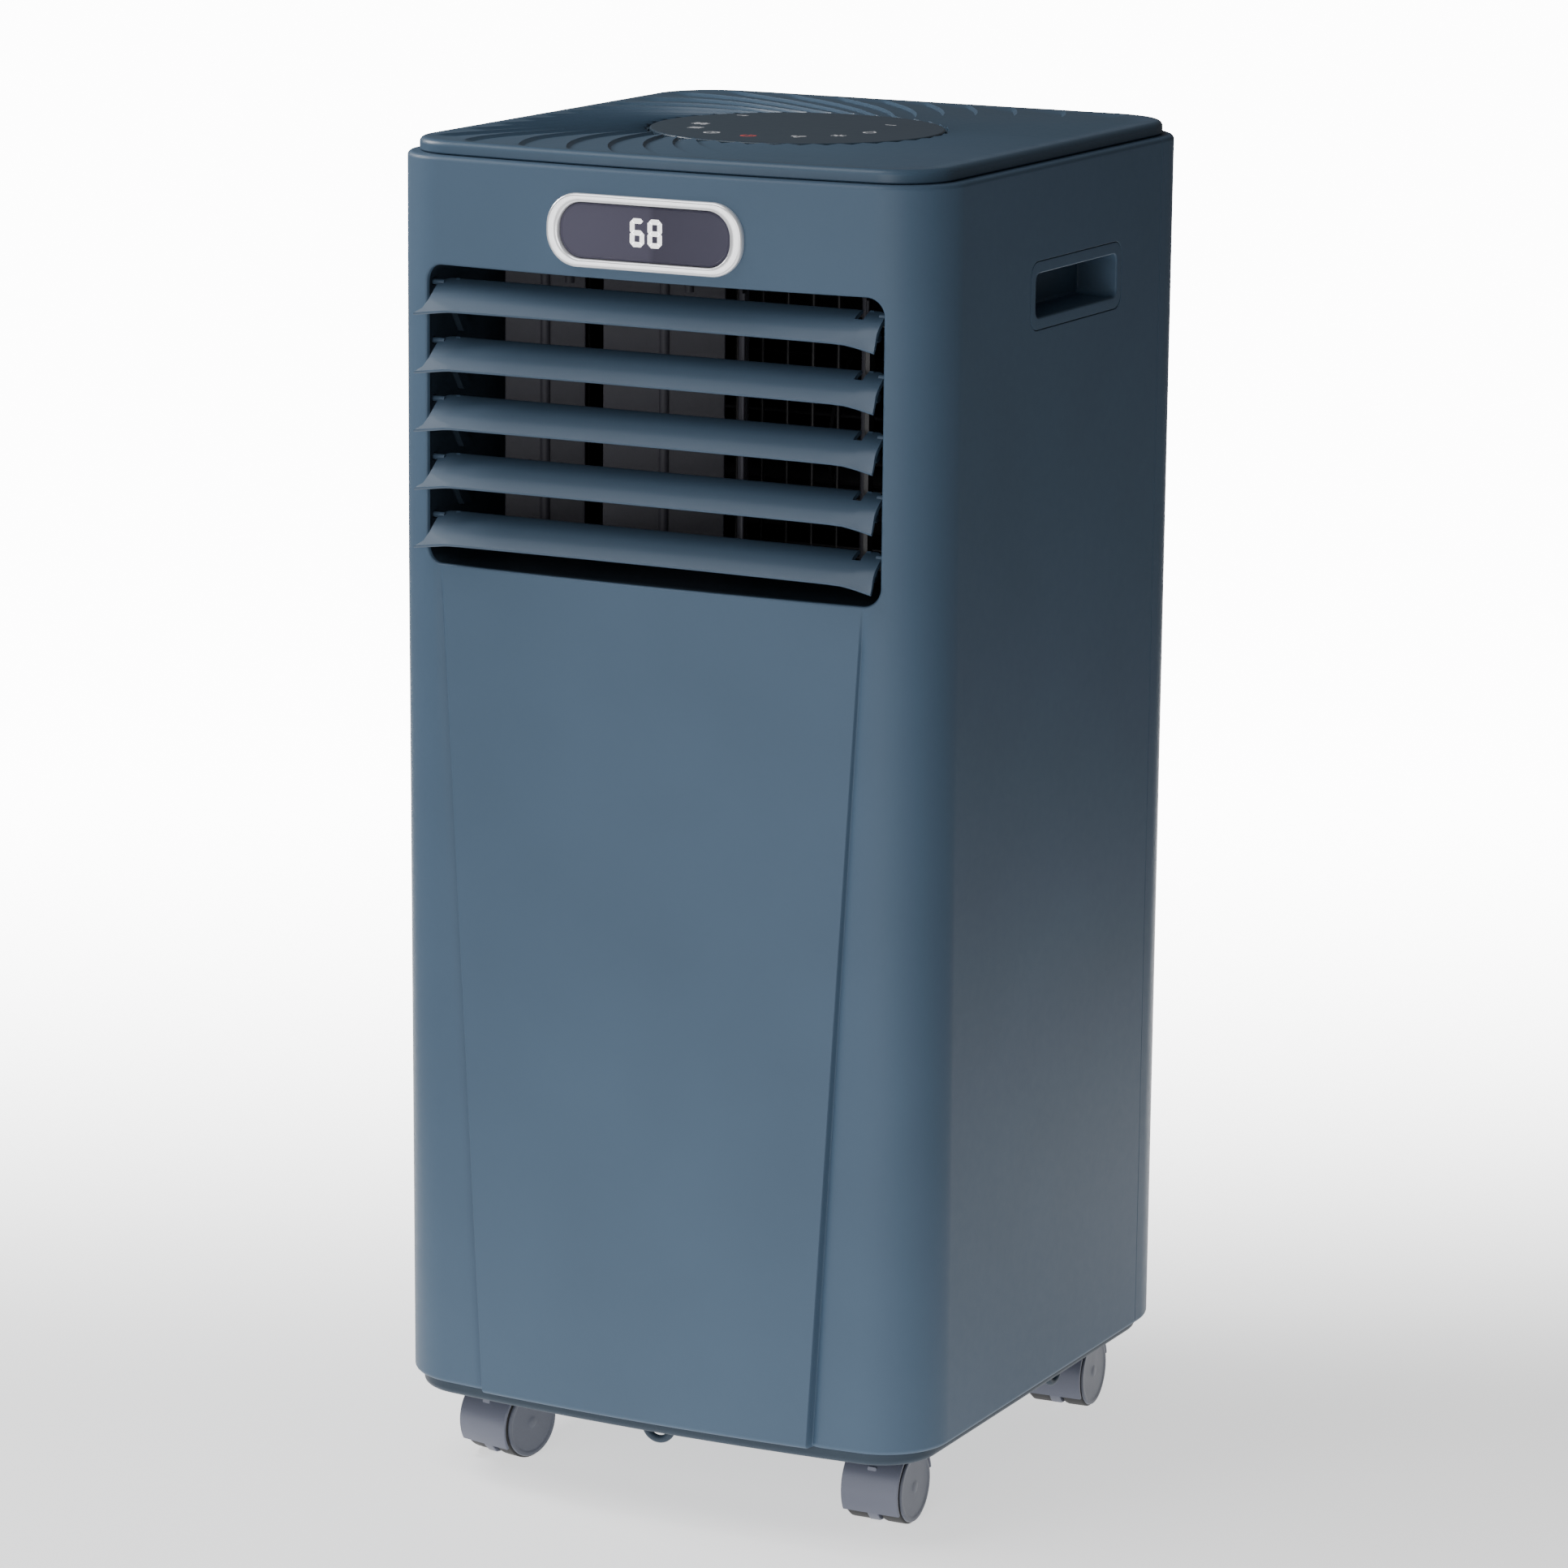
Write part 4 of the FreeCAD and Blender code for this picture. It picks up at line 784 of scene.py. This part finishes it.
def build_icons():
    z0, z1 = TOP_Z - 0.2, TOP_Z - 0.13
    marks = Mesh()
    for kind, x, y in ICONS:
        for pts, closed in icon_strokes(kind):
            ribbon(marks, [(a + x, b + y) for a, b in pts], ICON_LINE, z0, z1, closed)
    power = Mesh()
    for pts, closed in icon_strokes("power"):
        ribbon(power, [(a + POWER_AT[0], b + POWER_AT[1]) for a, b in pts], POWER_LINE, z0, z1, closed)
    for name, mesh, mat in (("key_marks", marks, "icon_light"), ("power_mark", power, "icon_red")):
        add_piece(name, mesh.verts, mesh.faces, "cabinet", "panel_gloss", mat=MATS[mat], weld=False)


build_lid()
build_disc()
build_icons()

# ------------------------------------------------------------------ display


BEZEL_HALF, BEZEL_R, BEZEL_ROUND = (53.3, 17.9), 16.7, 1.5
BEZEL_BAND = (5.4, 2.8)
GLASS_Y = -160.05


def badge_rings(sections):
    """Rings of rounded rectangles facing the front: (half x, half z, radius, y)."""
    return [[(x, y, z + BADGE_Z) for x, z in rounded(hx, hz, r, 14)] for hx, hz, r, y in sections]


def build_badge():
    (out_x, out_z), out_r = BEZEL_HALF, BEZEL_R
    sections = [(51.2, 15.9, 14.9, -152.5), (51.2, 15.9, 14.9, -157.4), (out_x, out_z, out_r, -158.4)]
    for k in range(6):
        a = k / 5 * PI / 2
        d = BEZEL_ROUND * (1 - math.cos(a))
        sections.append((out_x - d, out_z - d, out_r - d, -160.1 - BEZEL_ROUND * math.sin(a)))
    face_x, face_z, face_r = (v - BEZEL_ROUND for v in (out_x, out_z, out_r))
    band_x, band_z = BEZEL_BAND
    for k, y in ((0.45, -161.6), (0.7, -161.5), (0.86, -161.2), (0.96, -160.7), (1.0, -159.6), (1.0, -152.5)):
        sections.append((face_x - band_x * k, face_z - band_z * k, face_r - band_z * k, y))
    verts, faces = loft(badge_rings(sections), closed=True)
    add_piece("display_bezel_ring", verts, faces, "cabinet", "bezel_gloss",
              replaces=("display_bezel",), angle=40)
    in_x, in_z, in_r = face_x - band_x, face_z - band_z, face_r - band_z
    glass = [(in_x - d, in_z - d, in_r - d, y) for d, y in (
        (0.6, -157.6), (0.3, -159.2), (0.3, -159.7), (0.8, -160.1), (1.3, -160.2), (1.5, GLASS_Y),
        (2.0, GLASS_Y))]
    glass.append((in_x * 0.55, in_z * 0.4, 5.0, GLASS_Y))
    verts, faces = loft(badge_rings(glass))
    add_piece("display_window_pane", verts, faces, "cabinet", "smoked_window", replaces=("display_window",))


# Seven-bar digits: sizes, offset of the number from the badge's middle, and each bar's place and direction
DIGIT_H, DIGIT_W, BAR, BAR_OVERLAP = 13.8, 7.8, 2.5, 0.55
DIGITS_OFFSET = (1.0, 0.7)
SEGMENTS = {
    "top": (0.0, 1.0, True), "middle": (0.0, 0.0, True), "bottom": (0.0, -1.0, True),
    "upper_left": (-1.0, 0.5, False), "upper_right": (1.0, 0.5, False),
    "lower_left": (-1.0, -0.5, False), "lower_right": (1.0, -0.5, False),
}
SHOWN = (
    (-4.8, ("top", "middle", "bottom", "upper_left", "lower_left", "lower_right")),
    (4.8, tuple(SEGMENTS)),
)


def build_digits():
    lamps = Mesh()
    for cx, lit in SHOWN:
        for name in lit:
            u, w, flat = SEGMENTS[name]
            half_w, half_h = (DIGIT_W - BAR) / 2, (DIGIT_H - BAR) / 2
            length = (half_w if flat else half_h / 2) + BAR_OVERLAP
            x, z = cx + u * half_w + DIGITS_OFFSET[0], BADGE_Z + DIGITS_OFFSET[1] + w * half_h
            h = BAR / 2
            pts = [(-length, 0), (h - length, -h), (length - h, -h), (length, 0)]
            pts += [(length - h, h), (h - length, h)]
            if not flat:
                pts = [(b, -a) for a, b in pts]
            rings = []
            for grow, y in ((0.0, -159.9), (0.0, -160.16), (-0.12, -160.22)):
                k = 1 + grow / 1.2
                rings.append([(x + a * k, y, z + b * k) for a, b in pts])
            lamps.add(*loft(rings))
    add_piece("display_bars", lamps.verts, lamps.faces, "cabinet", "digit_light",
              replaces=("display_digits",), weld=False)


build_badge()
build_digits()

# ------------------------------------------------------------------ louvers


def tilt_louver(v, z):
    y = v[1] * math.cos(LOUVER_TILT) - v[2] * math.sin(LOUVER_TILT)
    h = v[1] * math.sin(LOUVER_TILT) + v[2] * math.cos(LOUVER_TILT)
    return (v[0], LOUVER_Y + y, z + h)


# Distance of each blade end from its middle against the share from front edge to back
LEFT_END = ((0.0, 0.11, 0.29, 0.68), (128.8, 124.0, 122.0, 122.0))
RIGHT_END = ((0.0, 0.33, 0.68), (123.2, 122.0, 122.0))
END_ROUND = 8.5
# Line about which the left corner folds: a point on it and its direction across
FOLD_AT, FOLD_ACROSS = (-122.0, -12.0), (-0.429, -0.904)
# The link bar runs through this gap in the tail, which starts at the given share
NOTCH, NOTCH_FROM = (107.2, 111.8), 0.64
BLADE_FRONT, BLADE_BACK = -18.9, 5.2
BLADE_NOSE, BLADE_TAIL = 0.02, 0.95
BRACKET_X = 113.2
BRACKET = ((-0.4, 5.4, -1.6), (-2.2, 4.2, -0.8), (-6.0, 3.2, -0.1), (-10.5, 2.9, 0.0), (-14.2, 2.9, 0.0),
           (-16.0, 2.2, 0.0), (-16.9, 1.0, 0.0))
PIVOT_PIN = ((0.0, 0.0), (0.0, 1.4), (8.0, 1.4), (8.4, 1.0), (8.4, 0.0))
PIVOT_X = 119.0
CRANK_PIN = ((0.0, 0.0), (0.0, 1.3), (0.3, 1.5), (5.6, 1.5), (5.6, 0.0))
CRANK_X = 107.4


def blade_end(b, knots):
    """Distance of a blade's end from its middle, at share b from the front edge to the back."""
    start = knots[0][-1]
    t = max(0.0, (b - start) / (1 - start))
    return float(np.interp(b, *knots)) - END_ROUND * (1 - math.sqrt(max(0.0, 1 - t * t)))


def blade_front(x):
    """Front edge of a blade: slightly bowed, swept forward at its ends."""
    y = BLADE_FRONT - 0.5 * min(1.0, abs(x) / 112) ** 2
    if x < 0:
        return y - max(0.0, -x - 112.0) / 16.8
    return y - 2.4 * max(0.0, (x - 104) / 20.6) ** 2


def blade_bend(x, y, b):
    """Height of a blade above its plane: cambered tail, drooping right corner, folded left corner."""
    corner = max(0.0, 1 - math.hypot((124.6 - x) / 22.0, b / 0.5))
    beyond = FOLD_ACROSS[0] * (x - FOLD_AT[0]) + FOLD_ACROSS[1] * (y - FOLD_AT[1])
    fold = beyond * beyond / 2.4 if 0 < beyond < 1.2 else max(0.0, beyond - 0.6)
    tail = 2.6 * max(0.0, (b - 0.55) / 0.45) ** 2
    return -tail - 2.7 * corner * corner * (3 - 2 * corner) - 0.26 * fold


def blade_half_thickness(b):
    """Half thickness at share b: a blunt nose, a round tail and a slight swell between them."""
    nose = max(0.0, 1 - (1 - min(1.0, b / BLADE_NOSE)) ** 4) ** 0.25
    tail = math.sqrt(max(0.0, 1 - max(0.0, (b - BLADE_TAIL) / (1 - BLADE_TAIL)) ** 2))
    return (0.7 + 0.45 * min(1.0, b / 0.3)) * nose * tail


def blade_x(s, left, right):
    """Steps below 0 are shares of the left half and steps above 2 run from the notch to the right end."""
    if s < 0:
        return s * left
    if 2 < s < 4:
        return NOTCH[1] + (s - 2) * (right - NOTCH[1])
    return s


def blade_solid():
    """Closed blade with a notch in its tail, before it is tilted."""
    xs = np.concatenate([
        np.linspace(-1, -0.84, 19)[:-1], np.linspace(-0.84, 0, 17)[:-1], np.linspace(0, NOTCH[0], 16),
        [NOTCH[1]], np.linspace(2, 3, 13)[1:]])
    bs = np.concatenate([
        [0.0, 0.003, 0.01, 0.02, 0.05, 0.11], np.linspace(0.16, NOTCH_FROM, 12), np.linspace(0.68, 0.86, 5),
        [0.91, 0.95, 0.98, 0.995, 1.0]])
    top, low = [], []
    for b in bs:
        left, right = blade_end(b, LEFT_END), blade_end(b, RIGHT_END)
        thick = blade_half_thickness(b)
        for s in xs:
            x = blade_x(s, left, right)
            y = blade_front(x) + (BLADE_BACK - blade_front(x)) * b
            mid = blade_bend(x, y, b)
            top.append((x, y, mid + thick))
            low.append((x, y, mid - thick))
    m, n = len(bs), len(xs)

    def at(r, c, side):
        return side * m * n + r * n + c

    faces = []
    c0, r0 = int(np.argmin(abs(xs - NOTCH[0]))), int(np.argmin(abs(bs - NOTCH_FROM)))
    for r in range(m - 1):
        for c in range(n - 1):
            if c == c0 and r >= r0:
                continue
            faces.append((at(r, c, 0), at(r, c + 1, 0), at(r + 1, c + 1, 0), at(r + 1, c, 0)))
            faces.append((at(r, c, 1), at(r + 1, c, 1), at(r + 1, c + 1, 1), at(r, c + 1, 1)))
    for r in range(m - 1):
        faces.append((at(r, 0, 0), at(r + 1, 0, 0), at(r + 1, 0, 1), at(r, 0, 1)))
        faces.append((at(r, n - 1, 0), at(r, n - 1, 1), at(r + 1, n - 1, 1), at(r + 1, n - 1, 0)))
    faces.append((at(r0, c0, 0), at(r0, c0 + 1, 0), at(r0, c0 + 1, 1), at(r0, c0, 1)))
    for c in (c0, c0 + 1):
        faces += [(at(r, c, 0), at(r + 1, c, 0), at(r + 1, c, 1), at(r, c, 1)) for r in range(r0, m - 1)]
    return top + low, faces


def build_louver(number):
    z = LOUVER_Z - LOUVER_PITCH * (number - 1)
    piece = Mesh()

    def add(verts, faces):
        piece.add(verts, faces, lambda v: tilt_louver(v, z))

    add(*blade_solid())
    for side in (-1, 1):
        rings = []
        for h, half_y, cy in BRACKET:
            rings.append([(side * BRACKET_X + a, cy + b, h) for a, b in rounded(1.2, half_y, 0.5, 3)])
        add(*loft(rings))
        add(*lathe(PIVOT_PIN, 20, lambda v: (side * (PIVOT_X + v[0]), v[1], v[2])))
    add(*lathe(CRANK_PIN, 20, lambda v: (CRANK_X + v[0], v[1], v[2] - CRANK)))
    name = "louver_%d" % number
    add_piece(name + "_blade", piece.verts, piece.faces, name, "louver_plastic", replaces=(name,), angle=50)


for index in range(1, LOUVERS + 1):
    build_louver(index)

# ------------------------------------------------------------------ side handles


RECESS_HALF, RECESS_R, RECESS_ROUND, RECESS_FLOOR = (47.7, 10.8), 4.0, 0.9, 128.2
RIM_HALF, SIDE_X = (53.6, 16.7), WIDTH / 2


def build_handle(side):
    (hy, hz), (rim_y, rim_z), floor = RECESS_HALF, RIM_HALF, RECESS_FLOOR
    back = [(hy - 2.4, hz - 2.4, 2, floor - 1.6), (hy + 1.8, hz + 1.8, 5.5, floor - 1.4)]
    back += [(hy + 2.0, hz + 2.0, 5.5, 144.0)]
    sections = [(rim_y - 3, rim_z - 3, 5.0, 145.4), (rim_y, rim_z, 7.7, 145.6), (rim_y, rim_z, 7.7, 149.6)]
    sections += [(rim_y - 0.12, rim_z - 0.12, 7.6, 149.88), (rim_y - 0.4, rim_z - 0.4, 7.3, SIDE_X)]
    for k in range(5):
        a = k / 4 * PI / 2
        d = RECESS_ROUND * (1 - math.sin(a))
        sections.append((hy + d, hz + d, RECESS_R + d, SIDE_X - RECESS_ROUND * (1 - math.cos(a))))
    sections += [(hy - 0.2, hz - 0.2, 3.8, floor + 2.0), (hy - 0.8, hz - 0.8, 3.2, floor + 0.5)]
    sections += [(hy - 2.4, hz - 2.4, 2, floor)]
    rings = [[(side * x, HANDLE_Y + a, HANDLE_Z + b) for a, b in rounded(p, q, r, 8)]
             for p, q, r, x in back + sections]
    verts, faces = loft(rings)
    name = "handle_right" if side > 0 else "handle_left"
    add_piece(name + "_cup", verts, faces, "cabinet", "shell_plastic", replaces=(name,), angle=40)


build_handle(1)
build_handle(-1)

# ------------------------------------------------------------------ casters


# Lathe profiles, each (along the axis, radius)
HOOD_WEB = ((-3.0, 0.0), (-3.0, 19.8), (-2.6, 20.2), (2.6, 20.2), (3.0, 19.8), (3.0, 0.0))
AXLE = ((-13.4, 0.0), (-13.4, 2.3), (-13.1, 2.6), (13.1, 2.6), (13.4, 2.3), (13.4, 0.0))
STEM = ((37.6, 0.0), (37.6, 6.9), (38.2, 7.5), (42.9, 7.5), (43.5, 6.9), (43.5, 4.0), (52.6, 4.0),
        (53.0, 3.6), (53.0, 0.0))
DISC = ((16.2, 0.0), (16.2, 2.6), (15.75, 3.6), (15.7, 14.6), (15.95, 15.6), (16.2, 16.2), (16.2, 17.3),
        (16.1, 17.7), (15.7, 17.95), (15.1, 18.0), (14.9, 17.8), (14.9, 0.0))
TREAD = ((14.85, 0.0), (14.85, 17.6), (14.7, 18.5), (14.4, 18.9), (13.6, 19.0), (5.0, 19.0), (3.9, 18.7),
         (3.5, 18.0), (3.5, 13.5), (9.5, 13.5), (9.5, 5.0), (3.5, 5.0), (3.5, 2.65), (14.0, 2.65),
         (14.0, 0.0))
HOOD_HALF_WIDTH, HOOD_HALF_WALL = 15.5, 0.85
HOOD_FROM, HOOD_TO = math.radians(-29.5), math.radians(168)
WEB_BOTTOM = 3.2
TAB_HALF, TAB_Z = (2.4, 1.8), 11.6


def hood_rings(hub):
    """Curved cover over both wheels, thin in section."""
    section = rounded(HOOD_HALF_WIDTH, HOOD_HALF_WALL, 0.6, 3)
    rings = []
    for a in np.linspace(HOOD_FROM, HOOD_TO, 34):
        radii = [(x, HOOD_R - HOOD_HALF_WALL + d) for x, d in section]
        rings.append([hub(x, -r * math.cos(a), r * math.sin(a)) for x, r in radii])
    return rings


def tab_rings(hub):
    """Small raised tab on the front of the hood."""
    rings = []
    for grow, y in ((0.0, -HOOD_R + 2.0), (0.0, -HOOD_R - 0.1), (-0.35, -HOOD_R - 0.45)):
        wide, high = (1 + grow / half for half in TAB_HALF)
        rings.append([hub(x * wide, y * 0.83, z * high + TAB_Z) for x, z in rounded(*TAB_HALF, 0.7, 4)])
    return rings


def build_caster(key):
    sx, sy = CASTER_PLACE[key]
    turn = math.radians(-CASTER_TURN[key])
    c, s = math.cos(turn), math.sin(turn)

    def stand(v):
        return (sx + v[0] * c - v[1] * s, sy + v[0] * s + v[1] * c, v[2])

    def hub(x, y, z):
        return stand((x, y - TRAIL, z + WHEEL_R))

    hood = Mesh()
    hood.add(*loft(hood_rings(hub)))
    verts, faces = lathe(HOOD_WEB, 56, lambda v: v)
    hood.add([hub(x, y, max(z, WEB_BOTTOM - WHEEL_R)) for x, y, z in verts], faces)
    hood.add(*lathe(AXLE, 20, lambda v: hub(*v)))
    hood.add(*lathe(STEM, 28, lambda v: stand((v[1], v[2], v[0]))))
    hood.add(*loft(tab_rings(hub)))
    body = "caster_" + key
    add_piece(body + "_cover", hood.verts, hood.faces, body, "hood_plastic",
              replaces=(body + "_hood",), angle=38)
    for side, label in ((-1, "left"), (1, "right")):
        wheel = "%s_wheel_%s" % (body, label)
        verts, faces = lathe(DISC, 64, lambda v: hub(side * v[0], v[1], v[2]))
        add_piece(wheel + "_disc", verts, faces, wheel, "wheel_plastic", replaces=(wheel,), angle=34)
        verts, faces = lathe(TREAD, 64, lambda v: hub(side * v[0], v[1], v[2]))
        add_piece(wheel + "_tread", verts, faces, wheel, "wheel_plastic", mat=MATS["rubber_black"], angle=34)


for corner in CASTER_PLACE:
    build_caster(corner)

# ------------------------------------------------------------------ floor, light and camera

# The floor's glow grows along GLOW_AWAY: each end is (metres, strength). It fills a strip that starts
# FAN_HALF to each side of the object, widens along GLOW_AWAY and fades out over FAN_SOFT
FLOOR_NEAR, FLOOR_FAR = (0.0, 1.05), (1.7, 13.0)
FAN_HALF, FAN_SOFT, FAN_GROWTH = 0.42, 0.30, 0.145
GLOW_AWAY, GLOW_ACROSS = (-0.46, 0.89, 0.0), (0.889, 0.459, 0.0)
FLOOR_REACH = 14


def link_dot(tree, coord, direction):
    dot = tree.nodes.new("ShaderNodeVectorMath")
    dot.operation = "DOT_PRODUCT"
    dot.inputs[1].default_value = direction
    tree.links.new(coord.outputs["Object"], dot.inputs[0])
    return dot.outputs["Value"]


def link_maths(tree, operation, *inputs):
    """One maths node; each input is a number or another node's socket."""
    node = tree.nodes.new("ShaderNodeMath")
    node.operation = operation
    for socket, value in zip(node.inputs, inputs):
        if isinstance(value, float):
            socket.default_value = value
        else:
            tree.links.new(value, socket)
    return node.outputs["Value"]


def floor_material():
    """Pale floor that glows like a light table, more strongly towards the far end."""
    mat, tree, shader = material("studio_floor")
    coord = tree.nodes.new("ShaderNodeTexCoord")
    noise = link_noise(tree, coord, 3.0, 2.0)
    ramp = tree.nodes.new("ShaderNodeValToRGB")
    ramp.color_ramp.elements[0].color = (0.90, 0.90, 0.905, 1)
    ramp.color_ramp.elements[1].color = (0.93, 0.93, 0.935, 1)
    tree.links.new(noise.outputs["Fac"], ramp.inputs["Fac"])
    tree.links.new(ramp.outputs["Color"], shader.inputs["Base Color"])
    shader.inputs["Roughness"].default_value = 0.7
    shader.inputs["Specular IOR Level"].default_value = 0.1
    away = link_dot(tree, coord, GLOW_AWAY)
    across = link_dot(tree, coord, GLOW_ACROSS)
    glow = link_span(tree, away, (FLOOR_NEAR[1], FLOOR_FAR[1]), (FLOOR_NEAR[0], FLOOR_FAR[0]), True)
    aside = link_maths(tree, "MULTIPLY_ADD", away, -FAN_GROWTH, link_maths(tree, "ABSOLUTE", across))
    fade = link_span(tree, aside, (1.0, 0.0), (FAN_HALF, FAN_HALF + FAN_SOFT), True)
    shader.inputs["Emission Color"].default_value = (1, 1, 1, 1)
    tree.links.new(link_maths(tree, "MULTIPLY", glow, fade), shader.inputs["Emission Strength"])
    return mat


def build_stage():
    r = FLOOR_REACH
    mesh = bpy.data.meshes.new("studio_floor")
    mesh.from_pydata([(-r, -r, 0), (r, -r, 0), (r, r, 0), (-r, r, 0)], [], [(0, 1, 2, 3)])
    mesh.materials.append(floor_material())
    floor = bpy.data.objects.new("studio_floor", mesh)
    scene.collection.objects.link(floor)


def area_light(name, place, target, size, power):
    data = bpy.data.lights.new(name, "AREA")
    data.shape = "RECTANGLE"
    data.size, data.size_y = size
    data.energy = power
    obj = bpy.data.objects.new(name, data)
    scene.collection.objects.link(obj)
    obj.location = place
    obj.rotation_mode = "QUATERNION"
    obj.rotation_quaternion = (Vector(place) - Vector(target)).to_track_quat("Z", "Y")


def build_light():
    world = bpy.data.worlds.new("studio")
    scene.world = world
    world.use_nodes = True
    back = world.node_tree.nodes["Background"]
    back.inputs["Color"].default_value = (1.0, 1.0, 1.0, 1)
    back.inputs["Strength"].default_value = 0.10
    area_light("key", (0.45, -2.62, 0.95), (0, 0, 0.35), (1.3, 1.6), 24)
    area_light("edge", (-1.17, -2.45, 0.62), (0, 0, 0.5), (0.6, 1.1), 9)
    area_light("rake", (-0.82, -0.15, 1.0), (0, 0, 0.68), (0.3, 0.3), 6)
    area_light("top", (-0.7, -0.95, 2.35), (0, 0, 0.45), (1.5, 1.5), 28)


# The camera of the photograph: angles, lens and place, found by fitting it to the cabinet's edges
CAMERA_AZ, CAMERA_EL, CAMERA_ROLL = math.radians(27.1027), math.radians(12.2257), math.radians(0.5884)
CAMERA_LENS, CAMERA_SENSOR = 137.49447, 36.0
CAMERA_AWAY, CAMERA_LEFT, CAMERA_AIM_Z = 3.06453, 3.3664 * MM, 347.10 * MM


def build_camera():
    az, el = CAMERA_AZ, CAMERA_EL
    back = Vector((math.sin(az) * math.cos(el), -math.cos(az) * math.cos(el), math.sin(el)))
    right = Vector((math.cos(az), math.sin(az), 0))
    up = back.cross(right)
    rolled_right = right * math.cos(CAMERA_ROLL) + up * math.sin(CAMERA_ROLL)
    rolled_up = up * math.cos(CAMERA_ROLL) - right * math.sin(CAMERA_ROLL)
    data = bpy.data.cameras.new("camera")
    data.sensor_width = CAMERA_SENSOR
    data.lens = CAMERA_LENS
    data.clip_end = 60.0
    cam = bpy.data.objects.new("camera", data)
    scene.collection.objects.link(cam)
    place = back * CAMERA_AWAY - right * CAMERA_LEFT + Vector((0, 0, CAMERA_AIM_Z))
    turned = Matrix((rolled_right, rolled_up, back)).transposed().to_4x4()
    cam.matrix_world = Matrix.Translation(place) @ turned
    scene.camera = cam


build_stage()
build_light()
build_camera()
